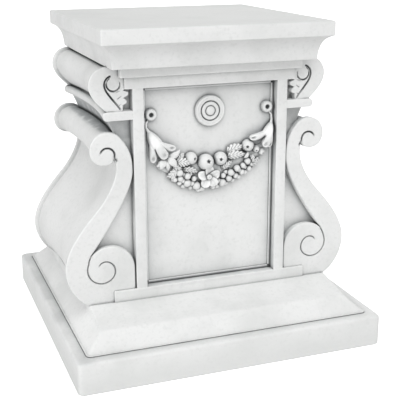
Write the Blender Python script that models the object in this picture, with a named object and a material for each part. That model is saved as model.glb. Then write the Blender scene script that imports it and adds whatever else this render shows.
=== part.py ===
"""Garden statue plinth, cast in one piece.

A square foot slab and a sloped base moulding carry a die with stiles and recessed panels.
S-scroll consoles flank it left and right through the whole depth, an impost band and two
capital scrolls stand on them, and fillets, a cavetto and a square abacus close the top.
The front panel has two rings, a medallion and a festoon of fruit, flowers and leaves.

X runs along the front, Y away from the viewer and Z up. The origin is the centre of the
underside. All sizes are in metres.
"""
import math

import bmesh
import bpy
from mathutils import Vector

# Foot slab and base moulding
SLAB_SIDE = 0.3858
SLAB_HEIGHT = 0.0397
SLAB_TOP_ROUND = 0.004
SLAB_FOOT_CHAMFER = 0.0012
SLOPE_FOOT_SIDE = 0.356
SLOPE_TOP_SIDE = 0.315
SLOPE_HEIGHT = 0.0203
SHELF_RISE = 0.010
BASE_FILLET_WIDTH = 0.2524
BASE_FILLET_HEIGHT = 0.0143
CORNER_ROUND = 0.005

# Die, stiles and panels
DIE_WIDTH = 0.1952
DIE_DEPTH = 0.2124
DIE_HEIGHT = 0.244
STILE_WIDTH = 0.0133
PANEL_RECESS = 0.012
BEAD_WIDTH = 0.003
BEAD_RECESS = 0.008
STILE_SETBACK = 0.0004

# Crown
LOWER_FILLET_WIDTH = 0.214
LOWER_FILLET_HEIGHT = 0.0141
UPPER_FILLET_SIDE = 0.227
UPPER_FILLET_HEIGHT = 0.0114
CAVETTO_FOOT_SIDE = 0.2522
CAVETTO_HEIGHT = 0.0286
ABACUS_SIDE = 0.2826
ABACUS_HEIGHT = 0.0176
ABACUS_ROUND = 0.0015

# Side pieces that run through the depth
SIDE_SETBACK = 0.0025
SIDE_WAIST = 0.0085
RIM_WIDTH = 0.007
RIM_HEIGHT = 0.003
INFILL_RECESS = 0.015
BAND_WIDTH = 0.266
BAND_HEIGHT = 0.0105
BAND_ROUND = 0.0042
BAND_DROP = 0.0251

# S-scroll consoles
CONSOLE_GAP = 0.0016
CONSOLE_REACH = 0.0851
VOLUTE_CLEARANCE = 0.0132
UPPER_VOLUTE_RADIUS = 0.021
UPPER_VOLUTE_OUT = 0.0301
LOWER_VOLUTE_RADIUS = 0.0313
LOWER_VOLUTE_RISE = 0.040
GROOVE_WIDTH = 0.0016
GROOVE_DEPTH = 0.0016

# Capital scrolls
SCROLL_RADIUS = 0.0207
SCROLL_OUT = 0.0304
SCROLL_FOOT_WIDTH = 0.017
EYE_RADIUS = 0.009

# Relief on the front panel
RING_INSET = 0.0103
RING_DROP = 0.0328
RING_RADIUS = 0.0072
RING_STAND = 0.007
MEDALLION_RADIUS = 0.0188
MEDALLION_STAND = 0.0065
FESTOON_DROP = 0.095

EMBED = 0.002
STONE_COLOUR = (0.79, 0.79, 0.77, 1.0)
STONE_ROUGHNESS = 0.8

# Levels and planes that follow from the sizes above
SLAB_TOP = SLAB_HEIGHT
SLOPE_TOP = SLAB_TOP + SLOPE_HEIGHT
SHELF_TOP = SLOPE_TOP + SHELF_RISE
DIE_FOOT = SHELF_TOP + BASE_FILLET_HEIGHT
DIE_TOP = DIE_FOOT + DIE_HEIGHT
LOWER_FILLET_TOP = DIE_TOP + LOWER_FILLET_HEIGHT
UPPER_FILLET_TOP = LOWER_FILLET_TOP + UPPER_FILLET_HEIGHT
CAVETTO_TOP = UPPER_FILLET_TOP + CAVETTO_HEIGHT
PLINTH_TOP = CAVETTO_TOP + ABACUS_HEIGHT
BAND_TOP = DIE_TOP - BAND_DROP
BAND_FOOT = BAND_TOP - BAND_HEIGHT
FRONT = DIE_DEPTH / 2
STILE_FACE = FRONT - STILE_SETBACK
PANEL_FACE = FRONT - PANEL_RECESS
BEAD_FACE = FRONT - BEAD_RECESS
INFILL_FACE = FRONT - INFILL_RECESS
SIDE_FACE = FRONT - SIDE_SETBACK
STILE_OUT = DIE_WIDTH / 2
STILE_IN = STILE_OUT - STILE_WIDTH
RELIEF_UNIT = FESTOON_DROP / 95
BERRY_LIFT = 4 * RELIEF_UNIT
CONSOLE_IN = STILE_OUT + CONSOLE_GAP
CONSOLE_TOP = BAND_FOOT - VOLUTE_CLEARANCE
CONSOLE_HEIGHT = CONSOLE_TOP - SHELF_TOP

CORNER_STEPS = 3
CAVETTO_STEPS = 7
MIDDLE_STATIONS = 5


def arc(centre, radius, start, end, steps, end_radius=None):
    """Points on an arc from start to end degrees; the radius may change along it."""
    last = radius if end_radius is None else end_radius
    points = []
    for i in range(steps + 1):
        t = i / steps
        angle = math.radians(start + (end - start) * t)
        r = radius + (last - radius) * t
        points.append((centre[0] + r * math.cos(angle), centre[1] + r * math.sin(angle)))
    return points


def bezier(a, b, c, d, steps):
    """Points on a cubic curve from a to d, with b and c as its handles."""
    points = []
    for i in range(steps + 1):
        t = i / steps
        s = 1 - t
        weights = (s ** 3, 3 * s * s * t, 3 * s * t * t, t ** 3)
        corners = (a, b, c, d)
        points.append(tuple(sum(w * p[k] for w, p in zip(weights, corners)) for k in (0, 1)))
    return points


def chain(*runs):
    """Join runs of points into one outline without repeating a shared end."""
    outline = []
    for run in runs:
        for point in run:
            if not outline or math.dist(point, outline[-1]) > 1e-6:
                outline.append(point)
    return outline


def inset(outline, distance):
    """Move every point of a closed outline inwards, along the mean of its edge normals."""
    count = len(outline)
    area = sum(outline[i - 1][0] * outline[i][1] - outline[i][0] * outline[i - 1][1]
               for i in range(count))
    turn = 1 if area > 0 else -1
    moved = []
    for i in range(count):
        before = Vector(outline[i]) - Vector(outline[i - 1])
        after = Vector(outline[(i + 1) % count]) - Vector(outline[i])
        before.normalize()
        after.normalize()
        normal = Vector((-before.y - after.y, before.x + after.x)) * turn
        normal.normalize()
        step = min(distance / max(abs(normal.x * -before.y + normal.y * before.x), 0.5),
                   1.5 * distance)
        moved.append((outline[i][0] + normal.x * step, outline[i][1] + normal.y * step))
    return moved


def add_object(name, mesh_data, collection):
    """Link a new object with the given bmesh to a collection."""
    bmesh.ops.recalc_face_normals(mesh_data, faces=mesh_data.faces)
    mesh = bpy.data.meshes.new(name)
    mesh_data.to_mesh(mesh)
    mesh_data.free()
    obj = bpy.data.objects.new(name, mesh)
    collection.objects.link(obj)
    return obj


def skin(name, loops, collection, closed=False):
    """Skin loops with equal counts of 3-D points: flat end caps, or closed on itself."""
    mesh_data = bmesh.new()
    rings = [[mesh_data.verts.new(point) for point in loop] for loop in loops]
    count = len(rings[0])
    for low, high in zip(rings, rings[1:] + (rings[:1] if closed else [])):
        for i in range(count):
            j = (i + 1) % count
            mesh_data.faces.new((low[i], low[j], high[j], high[i]))
    if not closed:
        mesh_data.faces.new(rings[0])
        mesh_data.faces.new(rings[-1])
    return add_object(name, mesh_data, collection)


def plan_ring(half_x, half_y, z, radius):
    """A rounded rectangle in plan, counter-clockwise from above."""
    loop = []
    corners = ((1, 1, 0), (-1, 1, 90), (-1, -1, 180), (1, -1, 270))
    for sign_x, sign_y, start in corners:
        centre = (sign_x * (half_x - radius), sign_y * (half_y - radius))
        for x, y in arc(centre, radius, start, start + 90, CORNER_STEPS):
            loop.append((x, y, z))
    return loop


def box(name, low, high, collection):
    """A plain box between two opposite corners."""
    loops = []
    for z in (low[2], high[2]):
        loops.append([(low[0], low[1], z), (high[0], low[1], z),
                      (high[0], high[1], z), (low[0], high[1], z)])
    return skin(name, loops, collection)


def lathe(name, profile, origin, axis, sides, collection):
    """Turn (radius, distance) pairs about an axis that starts at the origin."""
    axis = Vector(axis).normalized()
    across = axis.orthogonal().normalized()
    third = axis.cross(across)
    loops = []
    for radius, distance in profile:
        loop = []
        for i in range(sides):
            angle = 2 * math.pi * i / sides
            point = Vector(origin) + axis * distance
            point += across * radius * math.cos(angle) + third * radius * math.sin(angle)
            loop.append(tuple(point))
        loops.append(loop)
    return skin(name, loops, collection)


def base(parts):
    """Slab, slope and shelf as one stack of rings."""
    slab = SLAB_SIDE / 2
    foot = SLOPE_FOOT_SIDE / 2
    top = SLOPE_TOP_SIDE / 2
    rings = [plan_ring(slab - SLAB_FOOT_CHAMFER, slab - SLAB_FOOT_CHAMFER, 0, CORNER_ROUND),
             plan_ring(slab, slab, SLAB_FOOT_CHAMFER, CORNER_ROUND)]
    round_centre = (slab - SLAB_TOP_ROUND, SLAB_TOP - SLAB_TOP_ROUND)
    for half, z in arc(round_centre, SLAB_TOP_ROUND, 0, 90, 3):
        rings.append(plan_ring(half, half, z, CORNER_ROUND))
    rings.append(plan_ring(foot, foot, SLAB_TOP, CORNER_ROUND))
    rings.append(plan_ring(top, top, SLOPE_TOP, CORNER_ROUND / 2))
    rings.append(plan_ring(top - EMBED / 4, FRONT + EMBED / 4, SHELF_TOP, CORNER_ROUND / 2))
    return skin("base", rings, parts)


def crown(parts):
    """Upper fillet, cavetto and abacus as one stack of rings."""
    fillet = UPPER_FILLET_SIDE / 2
    cove_foot = CAVETTO_FOOT_SIDE / 2
    edge = ABACUS_SIDE / 2
    small = ABACUS_ROUND
    rings = [plan_ring(fillet, fillet, LOWER_FILLET_TOP, small),
             plan_ring(fillet, fillet, UPPER_FILLET_TOP, small)]
    cove = bezier((cove_foot, UPPER_FILLET_TOP),
                  (cove_foot + 0.1 * (edge - cove_foot), UPPER_FILLET_TOP + 0.6 * CAVETTO_HEIGHT),
                  (edge - 0.7 * (edge - cove_foot), CAVETTO_TOP - 0.1 * CAVETTO_HEIGHT),
                  (edge, CAVETTO_TOP), CAVETTO_STEPS)
    for half, z in cove[:-1]:
        rings.append(plan_ring(half, half, z, small))
    rings.append(plan_ring(edge - small, edge - small, CAVETTO_TOP, small))
    rings.append(plan_ring(edge, edge, CAVETTO_TOP + small, small))
    rings.append(plan_ring(edge, edge, PLINTH_TOP - small, small))
    rings.append(plan_ring(edge - small, edge - small, PLINTH_TOP, small))
    return skin("crown", rings, parts)


def panel_bead(face, parts):
    """The mitred bead round a panel, let into the stiles and fillets about it."""
    profile = ((-EMBED, BEAD_FACE), (0.6 * BEAD_WIDTH, BEAD_FACE),
               (BEAD_WIDTH, BEAD_FACE - 0.4 * BEAD_WIDTH), (BEAD_WIDTH, PANEL_FACE - EMBED),
               (-EMBED, PANEL_FACE - EMBED))
    loops = []
    for inward, depth in profile:
        upright_let_in = max(inward, 0.6 * inward)
        half = STILE_IN - inward
        low = DIE_FOOT + upright_let_in
        high = DIE_TOP - upright_let_in
        y = face * depth
        loops.append([(-half, y, low), (half, y, low), (half, y, high), (-half, y, high)])
    return skin("panel_bead", loops, parts, closed=True)


def die(parts):
    """The block between base and crown, with its fillets, stiles and panel beads."""
    box("die", (-STILE_OUT + EMBED / 4, -PANEL_FACE, SHELF_TOP - EMBED),
        (STILE_OUT - EMBED / 4, PANEL_FACE, LOWER_FILLET_TOP + EMBED), parts)
    half = BASE_FILLET_WIDTH / 2
    box("base_fillet", (-half, -FRONT, SHELF_TOP - EMBED), (half, FRONT, DIE_FOOT), parts)
    half = LOWER_FILLET_WIDTH / 2
    box("lower_fillet", (-half, -FRONT, DIE_TOP), (half, FRONT, LOWER_FILLET_TOP + EMBED), parts)
    for face in (-1, 1):
        ys = sorted((face * STILE_FACE, face * (PANEL_FACE - EMBED)))
        panel_bead(face, parts)
        for side in (-1, 1):
            xs = sorted((side * STILE_IN, side * STILE_OUT))
            box("stile", (xs[0], ys[0], DIE_FOOT - EMBED), (xs[1], ys[1], DIE_TOP + EMBED), parts)


def waist_at(y):
    """How far the side pieces draw in at a depth, most at the middle."""
    return SIDE_WAIST * (1 - (y / FRONT) ** 2)


def spread(half, count):
    """Even stations from -half to half."""
    return [half * (2 * i / (count - 1) - 1) for i in range(count)]


def side_loft(name, side, sections, collection):
    """Skin X-Z outlines at their depths, each drawn in by the waist."""
    loops = []
    for y, outline in sections:
        draw_in = waist_at(y)
        loops.append([(side * (x - draw_in), y, z) for x, z in outline])
    return skin(name, loops, collection)


def rimmed_sections(outline):
    """Sections with a full rim at both ends and a lower face between them."""
    lower = inset(outline, RIM_HEIGHT)
    rim_in = SIDE_FACE - RIM_WIDTH
    sections = [(-SIDE_FACE, outline), (-rim_in, outline)]
    for y in spread(rim_in - RIM_HEIGHT / 4, MIDDLE_STATIONS):
        sections.append((y, lower))
    sections += [(rim_in, outline), (SIDE_FACE, outline)]
    return sections


def console_point(across, up):
    """A point of the console from its shares of reach and height."""
    return (CONSOLE_IN + across * CONSOLE_REACH, SHELF_TOP + up * CONSOLE_HEIGHT)


def upper_volute_centre():
    return (CONSOLE_IN + UPPER_VOLUTE_OUT, CONSOLE_TOP - UPPER_VOLUTE_RADIUS)


def lower_volute_centre():
    return (CONSOLE_IN + LOWER_VOLUTE_RADIUS, SHELF_TOP + LOWER_VOLUTE_RISE)


def console_inner_line(steps):
    """The inner edge of the S ribbon, from the lower volute up to the straight neck."""
    centre = lower_volute_centre()
    meet = arc(centre, LOWER_VOLUTE_RADIUS, 57, 57, 1)[0]
    return bezier(meet, console_point(0.203, 0.561), console_point(0, 0.678),
                  console_point(0, 0.773), steps)


def console_outline():
    """The S-scroll seen from the front: upper volute outwards, lower volute inwards."""
    upper = upper_volute_centre()
    lower = lower_volute_centre()
    radius = UPPER_VOLUTE_RADIUS
    shoulder = arc(upper, radius, 145, 145, 1)[0]
    lean = (radius * 0.25, radius * 0.36)
    notch_radius = 0.75 * radius
    notch = arc(upper, notch_radius, -122, -122, 1)[0]
    return chain(
        [console_point(0, 0)],
        arc(lower, LOWER_VOLUTE_RADIUS, 180, 57, 8),
        console_inner_line(6),
        bezier(console_point(0, 0.792), console_point(0, 0.8735),
               (shoulder[0] - lean[0], shoulder[1] - lean[1]), shoulder, 4),
        arc(upper, radius, 145, -40, 11),
        arc(upper, radius, -40, -122, 4, end_radius=notch_radius),
        bezier(notch, console_point(0.174, 0.764), console_point(0.357, 0.635),
               console_point(0.497, 0.570), 5),
        bezier(console_point(0.497, 0.570), console_point(0.699, 0.477),
               console_point(1.0, 0.348), console_point(1.0, 0.2196), 5),
        bezier(console_point(1.0, 0.2196), console_point(1.0, 0.124),
               console_point(0.867, 0.038), console_point(0.7086, 0), 5))


def console(side, parts):
    """One S-scroll console with its rims, sunk a little into the shelf."""
    outline = console_outline()
    side_loft("console", side, rimmed_sections(outline), parts)
    foot = [console_point(-0.05, -EMBED / CONSOLE_HEIGHT),
            console_point(0.66, -EMBED / CONSOLE_HEIGHT),
            console_point(0.70, 0.06), console_point(-0.05, 0.06)]
    side_loft("console_foot", side, [(y, foot) for y in spread(SIDE_FACE - EMBED / 4, 5)], parts)


def infill(side, parts):
    """The recessed wall behind console, band and capital scroll."""
    inner = STILE_OUT - SIDE_WAIST - 2 * EMBED
    upper = upper_volute_centre()
    under_band = BAND_WIDTH / 2 - BAND_ROUND - EMBED / 2
    outline = [(inner, SHELF_TOP - EMBED), console_point(0.36, 0.02), console_point(0.66, 0.25),
               console_point(0.68, 0.36), console_point(0.32, 0.55), console_point(0.08, 0.69),
               console_point(0.04, 0.81), (upper[0] - 0.6 * UPPER_VOLUTE_RADIUS, upper[1]),
               (upper[0] - 0.4 * UPPER_VOLUTE_RADIUS, CONSOLE_TOP - EMBED),
               (under_band, BAND_FOOT), (under_band, BAND_TOP - EMBED),
               (inner, BAND_TOP - EMBED)]
    sections = [(y, outline) for y in spread(INFILL_FACE, MIDDLE_STATIONS + 2)]
    side_loft("infill", side, sections, parts)
    centre = scroll_centre()
    outline = [(inner, BAND_TOP - EMBED),
               (STILE_OUT + SCROLL_FOOT_WIDTH, BAND_TOP - EMBED),
               (centre[0] + 0.3 * SCROLL_RADIUS, centre[1] - 0.6 * SCROLL_RADIUS),
               (centre[0] + 0.3 * SCROLL_RADIUS, centre[1] + 0.5 * SCROLL_RADIUS),
               (centre[0] - 0.3 * SCROLL_RADIUS, UPPER_FILLET_TOP - EMBED),
               (inner, UPPER_FILLET_TOP - EMBED)]
    sections = [(y, outline) for y in spread(INFILL_FACE - EMBED / 4, MIDDLE_STATIONS + 2)]
    side_loft("capital_infill", side, sections, parts)


def band(side, parts):
    """The impost band, flush with the stiles, round-nosed and hollow along the side."""
    inner = STILE_OUT - EMBED / 2
    nose = BAND_WIDTH / 2 - BAND_ROUND
    outline = chain(
        [(inner, BAND_FOOT)],
        arc((nose, BAND_FOOT + BAND_ROUND), BAND_ROUND, -90, 0, 2),
        arc((nose, BAND_TOP - BAND_ROUND), BAND_ROUND, 0, 90, 2),
        [(inner, BAND_TOP)])
    sections = [(y, outline) for y in spread(STILE_FACE - STILE_SETBACK, MIDDLE_STATIONS + 2)]
    side_loft("band", side, sections, parts)


def scroll_centre():
    """Centre of the capital scroll, whose top is let into the cavetto's underside."""
    return (STILE_OUT + SCROLL_OUT, UPPER_FILLET_TOP + EMBED / 4 - SCROLL_RADIUS)


def eye_centre():
    centre = scroll_centre()
    return (centre[0] - 0.4 * SCROLL_RADIUS, centre[1] + 0.04 * SCROLL_RADIUS)


def scroll_outline():
    """The capital scroll seen from the front, with the lobed leaf on its inner side."""
    centre = scroll_centre()
    eye = eye_centre()
    foot = STILE_OUT + 0.7 * SCROLL_FOOT_WIDTH
    rise = eye[1] - EYE_RADIUS - BAND_TOP
    lobe = 0.72 * EYE_RADIUS
    lobes = [(foot, BAND_TOP - EMBED), (foot - 0.08 * lobe, BAND_TOP + 0.30 * rise),
             (foot - 0.70 * lobe, BAND_TOP + 0.50 * rise),
             (foot - 0.18 * lobe, BAND_TOP + 0.68 * rise),
             (foot - lobe, BAND_TOP + 0.92 * rise), (foot - 0.18 * lobe, BAND_TOP + 1.06 * rise)]
    beside = LOWER_FILLET_WIDTH / 2 - EMBED / 4
    turn = arc(centre, SCROLL_RADIUS, -24, -24, 1)[0]
    tail = (STILE_OUT + 1.7 * SCROLL_FOOT_WIDTH, BAND_TOP - EMBED)
    return chain(
        lobes,
        [(beside, DIE_TOP + EMBED / 4), (beside, UPPER_FILLET_TOP + EMBED / 4)],
        arc(centre, SCROLL_RADIUS, 92, -24, 9),
        bezier(turn, (turn[0] - 0.15 * SCROLL_RADIUS, turn[1] - 0.41 * SCROLL_RADIUS),
               (tail[0] + 0.41 * SCROLL_RADIUS, tail[1] + 0.36 * SCROLL_RADIUS), tail, 4))


def capital_scroll(side, parts):
    side_loft("capital_scroll", side, rimmed_sections(scroll_outline()), parts)


def groove(name, path, side, face, cutters):
    """A V-shaped cutter along an X-Z path on the end face of a side piece."""
    loops = []
    top = SIDE_FACE + GROOVE_DEPTH / 2
    draw_in = waist_at(SIDE_FACE)
    half = 0.75 * GROOVE_WIDTH
    for i, (x, z) in enumerate(path):
        before = path[max(i - 1, 0)]
        after = path[min(i + 1, len(path) - 1)]
        run = Vector((after[0] - before[0], after[1] - before[1])).normalized()
        normal = (-run.y * half, run.x * half)
        loops.append([(side * (x + normal[0] - draw_in), face * top, z + normal[1]),
                      (side * (x - normal[0] - draw_in), face * top, z - normal[1]),
                      (side * (x - draw_in), face * (SIDE_FACE - GROOVE_DEPTH), z)])
    return skin(name, loops, cutters)


def lower_spiral():
    """The ribbon's inner edge carried on as a spiral inside the lower volute."""
    centre = lower_volute_centre()
    eye = (centre[0] + 0.27 * LOWER_VOLUTE_RADIUS, centre[1] + 0.03 * LOWER_VOLUTE_RADIUS)
    meet = console_inner_line(1)[0]
    start = arc(eye, 0.62 * LOWER_VOLUTE_RADIUS, 25, 25, 1)[0]
    mouth = (meet[0] - 0.6 * GROOVE_WIDTH, meet[1] + GROOVE_WIDTH)
    reach = 0.19 * LOWER_VOLUTE_RADIUS
    lead = bezier(mouth, (meet[0] + 0.6 * reach, meet[1] - reach),
                  (start[0] - 0.2 * reach, start[1] + reach), start, 3)
    return chain(lead, arc(eye, 0.62 * LOWER_VOLUTE_RADIUS, 25, -150, 9,
                           end_radius=0.48 * LOWER_VOLUTE_RADIUS),
                 arc(eye, 0.48 * LOWER_VOLUTE_RADIUS, -150, -295, 8,
                     end_radius=0.3 * LOWER_VOLUTE_RADIUS))


def upper_hook():
    """The curl inside the upper volute, from the notch over the top and down."""
    centre = upper_volute_centre()
    notch = arc(centre, 0.78 * UPPER_VOLUTE_RADIUS, -126, -126, 1)[0]
    eye = (centre[0], centre[1] - 0.26 * UPPER_VOLUTE_RADIUS)
    return chain([notch], arc(eye, 0.42 * UPPER_VOLUTE_RADIUS, 190, 12, 8))


def scroll_line():
    """The inner edge of the capital scroll's ribbon, round the eye and down to the band."""
    eye = eye_centre()
    foot = (STILE_OUT + 0.82 * SCROLL_FOOT_WIDTH, BAND_TOP + EMBED / 2)
    turn = arc(eye, 1.13 * EYE_RADIUS, -12, -12, 1)[0]
    down = bezier(turn, (turn[0] - 0.11 * EYE_RADIUS, turn[1] - 0.89 * EYE_RADIUS),
                  (foot[0] + 0.67 * EYE_RADIUS, foot[1] + 1.11 * EYE_RADIUS), foot, 6)
    return chain(arc(eye, 1.13 * EYE_RADIUS, 62, -12, 4), down)


def eye_line():
    """The groove round the lower part of the scroll's eye."""
    return arc(eye_centre(), 0.90 * EYE_RADIUS, -18, -188, 9)


def grooves(side, face, cutters):
    groove("lower_spiral", lower_spiral(), side, face, cutters)
    groove("upper_hook", upper_hook(), side, face, cutters)
    groove("scroll_line", scroll_line(), side, face, cutters)
    groove("eye_line", eye_line(), side, face, cutters)


def festoon_point(across, down):
    """A point on the panel from its shares of the half span and of the festoon's drop."""
    return ((STILE_IN - RING_INSET) * across, DIE_TOP - RING_DROP - FESTOON_DROP * down)


def on_panel(x, z, stand):
    """A 3-D point that stands a little in front of the front panel."""
    return (x, -PANEL_FACE - stand, z)


def ring(side, parts):
    """A ring with a hole, from which the festoon hangs."""
    x, z = festoon_point(side, 0)
    r = RING_RADIUS
    profile = [(0.95 * r, -EMBED), (0.95 * r, 0.45 * RING_STAND), (0.85 * r, 0.8 * RING_STAND),
               (0.6 * r, RING_STAND), (0.38 * r, 0.85 * RING_STAND), (0.3 * r, 0.2 * RING_STAND)]
    lathe("ring", profile, on_panel(x, z, 0), (0, -1, 0), 14, parts)


def medallion(parts):
    """The centre boss of concentric rings."""
    x, z = festoon_point(0, 0)
    r = MEDALLION_RADIUS
    h = MEDALLION_STAND
    profile = [(r, -EMBED), (r, 0.55 * h), (0.92 * r, 0.85 * h), (0.8 * r, 0.9 * h),
               (0.7 * r, 0.6 * h), (0.64 * r, 0.6 * h), (0.58 * r, 0.9 * h), (0.4 * r, 0.9 * h),
               (0.33 * r, 0.7 * h), (0.27 * r, h), (0.1 * r, 1.1 * h)]
    lathe("medallion", profile, on_panel(x, z, 0), (0, -1, 0), 22, parts)


def fruit(across, down, radius, parts):
    """A round fruit with a dimple in its crown."""
    x, z = festoon_point(across, down)
    r = radius * RELIEF_UNIT
    profile = [(0.80 * r, -0.6 * r), (r, 0), (0.87 * r, 0.5 * r), (0.5 * r, 0.87 * r),
               (0.22 * r, 0.95 * r), (0.08 * r, 0.8 * r)]
    lathe("fruit", profile, on_panel(x, z, 0.45 * r), (0.05, -1, 0.1), 12, parts)


def berry(across, down, radius, parts):
    x, z = festoon_point(across, down)
    r = radius * RELIEF_UNIT
    profile = [(0.7 * r, -BERRY_LIFT - EMBED), (r, 0), (0.71 * r, 0.71 * r), (0.15 * r, r)]
    lathe("berry", profile, on_panel(x, z, BERRY_LIFT), (0, -1, 0), 7, parts)


def leaf(across, down, length, width, turn, lift, parts, rise=0.4):
    """A pointed leaf with a raised midrib; turn is its angle from +X in degrees."""
    x, z = festoon_point(across, down)
    along = Vector((math.cos(math.radians(turn)), 0, math.sin(math.radians(turn))))
    side = Vector((-along.z, 0, along.x))
    shape = ((-0.5, 0.12, 0.0), (-0.25, 0.75, 0.7), (0.0, 1.0, 1.0), (0.25, 0.7, 0.9), (0.5, 0.08, 0.3))
    loops = []
    for place, breadth, height in shape:
        middle = Vector(on_panel(x, z, 0)) + along * place * length * RELIEF_UNIT
        half_width = breadth * width * RELIEF_UNIT / 2
        half = side * half_width
        stand = lift * RELIEF_UNIT * (0.4 + 0.6 * height)
        edge = Vector((0, -stand, 0))
        crest = Vector((0, -stand - rise * half_width, 0))
        back = Vector((0, EMBED, 0))
        loops.append([tuple(middle + half + edge), tuple(middle + crest),
                      tuple(middle - half + edge), tuple(middle + back)])
    return skin("leaf", loops, parts)


def bellflower(side, mouth, width, parts):
    """A hanging trumpet flower with curled petals; mouth is the share point of its opening."""
    start = festoon_point(side * 1.04, 0.09)
    end = festoon_point(*mouth)
    origin = Vector(on_panel(start[0], start[1], 2.5 * RELIEF_UNIT))
    tip = Vector(on_panel(end[0], end[1], 7.5 * RELIEF_UNIT))
    run = tip - origin
    length = run.length
    r = width * RELIEF_UNIT / 2
    profile = [(0.16 * r, 0), (0.18 * r, 0.18 * length), (0.42 * r, 0.32 * length),
               (0.58 * r, 0.55 * length), (0.68 * r, 0.78 * length), (0.95 * r, 0.96 * length),
               (0.9 * r, length), (0.5 * r, 0.93 * length)]
    lathe("bellflower", profile, origin, run, 10, parts)


def flower(across, down, radius, parts):
    """Five round petals about a small bud."""
    spread_out = 0.62 * radius * RELIEF_UNIT
    r = 0.42 * radius * RELIEF_UNIT
    for i in range(5):
        angle = math.radians(90 + 72 * i)
        x, z = festoon_point(across, down)
        x += spread_out * math.cos(angle)
        z += spread_out * math.sin(angle)
        profile = [(0.9 * r, -EMBED), (r, 5.5 * RELIEF_UNIT), (0.85 * r, 6.8 * RELIEF_UNIT),
                   (0.4 * r, 5.2 * RELIEF_UNIT)]
        lathe("petal", profile, on_panel(x, z, 0), (0, -1, 0), 9, parts)
    berry(across, down, 0.28 * radius, parts)


# Relief items: place as shares of the festoon's half span and drop, sizes in relief units,
# and for leaves and petals their length, width, turn in degrees and lift
FRUITS = ((-0.335, 0.597, 7.6), (-0.078, 0.654, 10.3), (0.172, 0.632, 8.3),
          (0.651, 0.495, 7.7), (0.80, 0.575, 5.2))
BERRIES = ((-0.400, 0.818, 4), (-0.522, 0.843, 3.9), (-0.311, 0.859, 3.7),
           (-0.418, 0.912, 4), (-0.240, 0.955, 5.2), (-0.510, 0.915, 3.4),
           (0.209, 0.857, 3.6), (0.336, 0.819, 4.1), (0.446, 0.774, 4.2),
           (0.554, 0.740, 3.6), (0.646, 0.692, 4), (0.309, 0.905, 4.2),
           (0.428, 0.867, 3.7), (0.538, 0.826, 3.6), (0.647, 0.787, 3.4),
           (0.192, 0.948, 4.3), (0.900, 0.605, 4.2))
LEAVES = ((0.43, 0.585, 26, 15, 32, 5), (0.27, 0.730, 19, 9, 25, 4.5),
          (-0.49, 0.630, 19, 13, 10, 5), (-0.60, 0.760, 17, 12, -50, 4.5),
          (-0.33, 0.745, 20, 11, -18, 5), (-0.79, 0.650, 17, 13, -30, 4.5),
          (-0.66, 0.590, 16, 11, 35, 5.5), (0.80, 0.705, 18, 10, 62, 4),
          (0.71, 0.620, 13, 8, 45, 4.5), (-0.60, 0.830, 13, 9, 20, 4))
PETALS = ((-0.71, 0.42, 16, 8, -8, 8), (-0.98, 0.560, 15, 9, -65, 7),
          (0.69, 0.380, 18, 8, 14, 8), (0.965, 0.54, 13, 8, -75, 7),
          (-0.59, 0.48, 12, 9, 50, 7))


def festoon(parts):
    bellflower(-1, (-0.86, 0.53), 21.5, parts)
    bellflower(1, (0.87, 0.47), 19.5, parts)
    for item in FRUITS:
        fruit(*item, parts)
    for item in BERRIES:
        berry(*item, parts)
    for item in LEAVES + PETALS:
        leaf(*item, parts)
    flower(-0.042, 0.845, 12.5, parts)


def guide_collection(name):
    collection = bpy.data.collections.new(name)
    bpy.context.scene.collection.children.link(collection)
    return collection


def hide_guides(collection):
    for obj in collection.objects:
        obj.hide_render = True
        obj.display_type = "WIRE"


def stone_material():
    material = bpy.data.materials.new("cast_stone")
    material.use_nodes = True
    shader = material.node_tree.nodes["Principled BSDF"]
    shader.inputs["Base Color"].default_value = STONE_COLOUR
    shader.inputs["Roughness"].default_value = STONE_ROUGHNESS
    shader.inputs["Metallic"].default_value = 0.0
    return material


def combine(obj, name, operation, collection):
    """Join or cut with every body of a collection."""
    modifier = obj.modifiers.new(name, "BOOLEAN")
    modifier.operation = operation
    modifier.operand_type = "COLLECTION"
    modifier.collection = collection
    modifier.solver = "EXACT"


def main():
    for obj in list(bpy.data.objects):
        bpy.data.objects.remove(obj, do_unlink=True)
    parts = guide_collection("plinth_parts")
    cutters = guide_collection("plinth_grooves")
    crown(parts)
    die(parts)
    for side in (-1, 1):
        infill(side, parts)
        band(side, parts)
        console(side, parts)
        capital_scroll(side, parts)
        ring(side, parts)
        for face in (-1, 1):
            grooves(side, face, cutters)
    medallion(parts)
    festoon(parts)
    plinth = base(bpy.context.scene.collection)
    plinth.name = "plinth"
    plinth.data.name = "plinth"
    plinth.data.materials.append(stone_material())
    combine(plinth, "join", "UNION", parts)
    combine(plinth, "carve", "DIFFERENCE", cutters)
    hide_guides(parts)
    hide_guides(cutters)


main()
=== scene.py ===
"""Looks of a square garden statue plinth: white cast stone with grey washes and painted shade in
its hollows.

The plinth is one casting. Here each of its forms is a class that keeps its sizes, builds its
meshes and dresses them: the base moulding, the die with its panels, the crown, the scroll
flanks on both sides, the panel's rings and medallion, and the festoon.
X runs along the front, Y away from the viewer and Z up. All sizes are in metres.
"""
from __future__ import annotations

import logging
import math
from collections.abc import Callable, Sequence
from dataclasses import dataclass, field
from enum import Enum

import bmesh
import bpy
import numpy as np
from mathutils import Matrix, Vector, geometry


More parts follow.
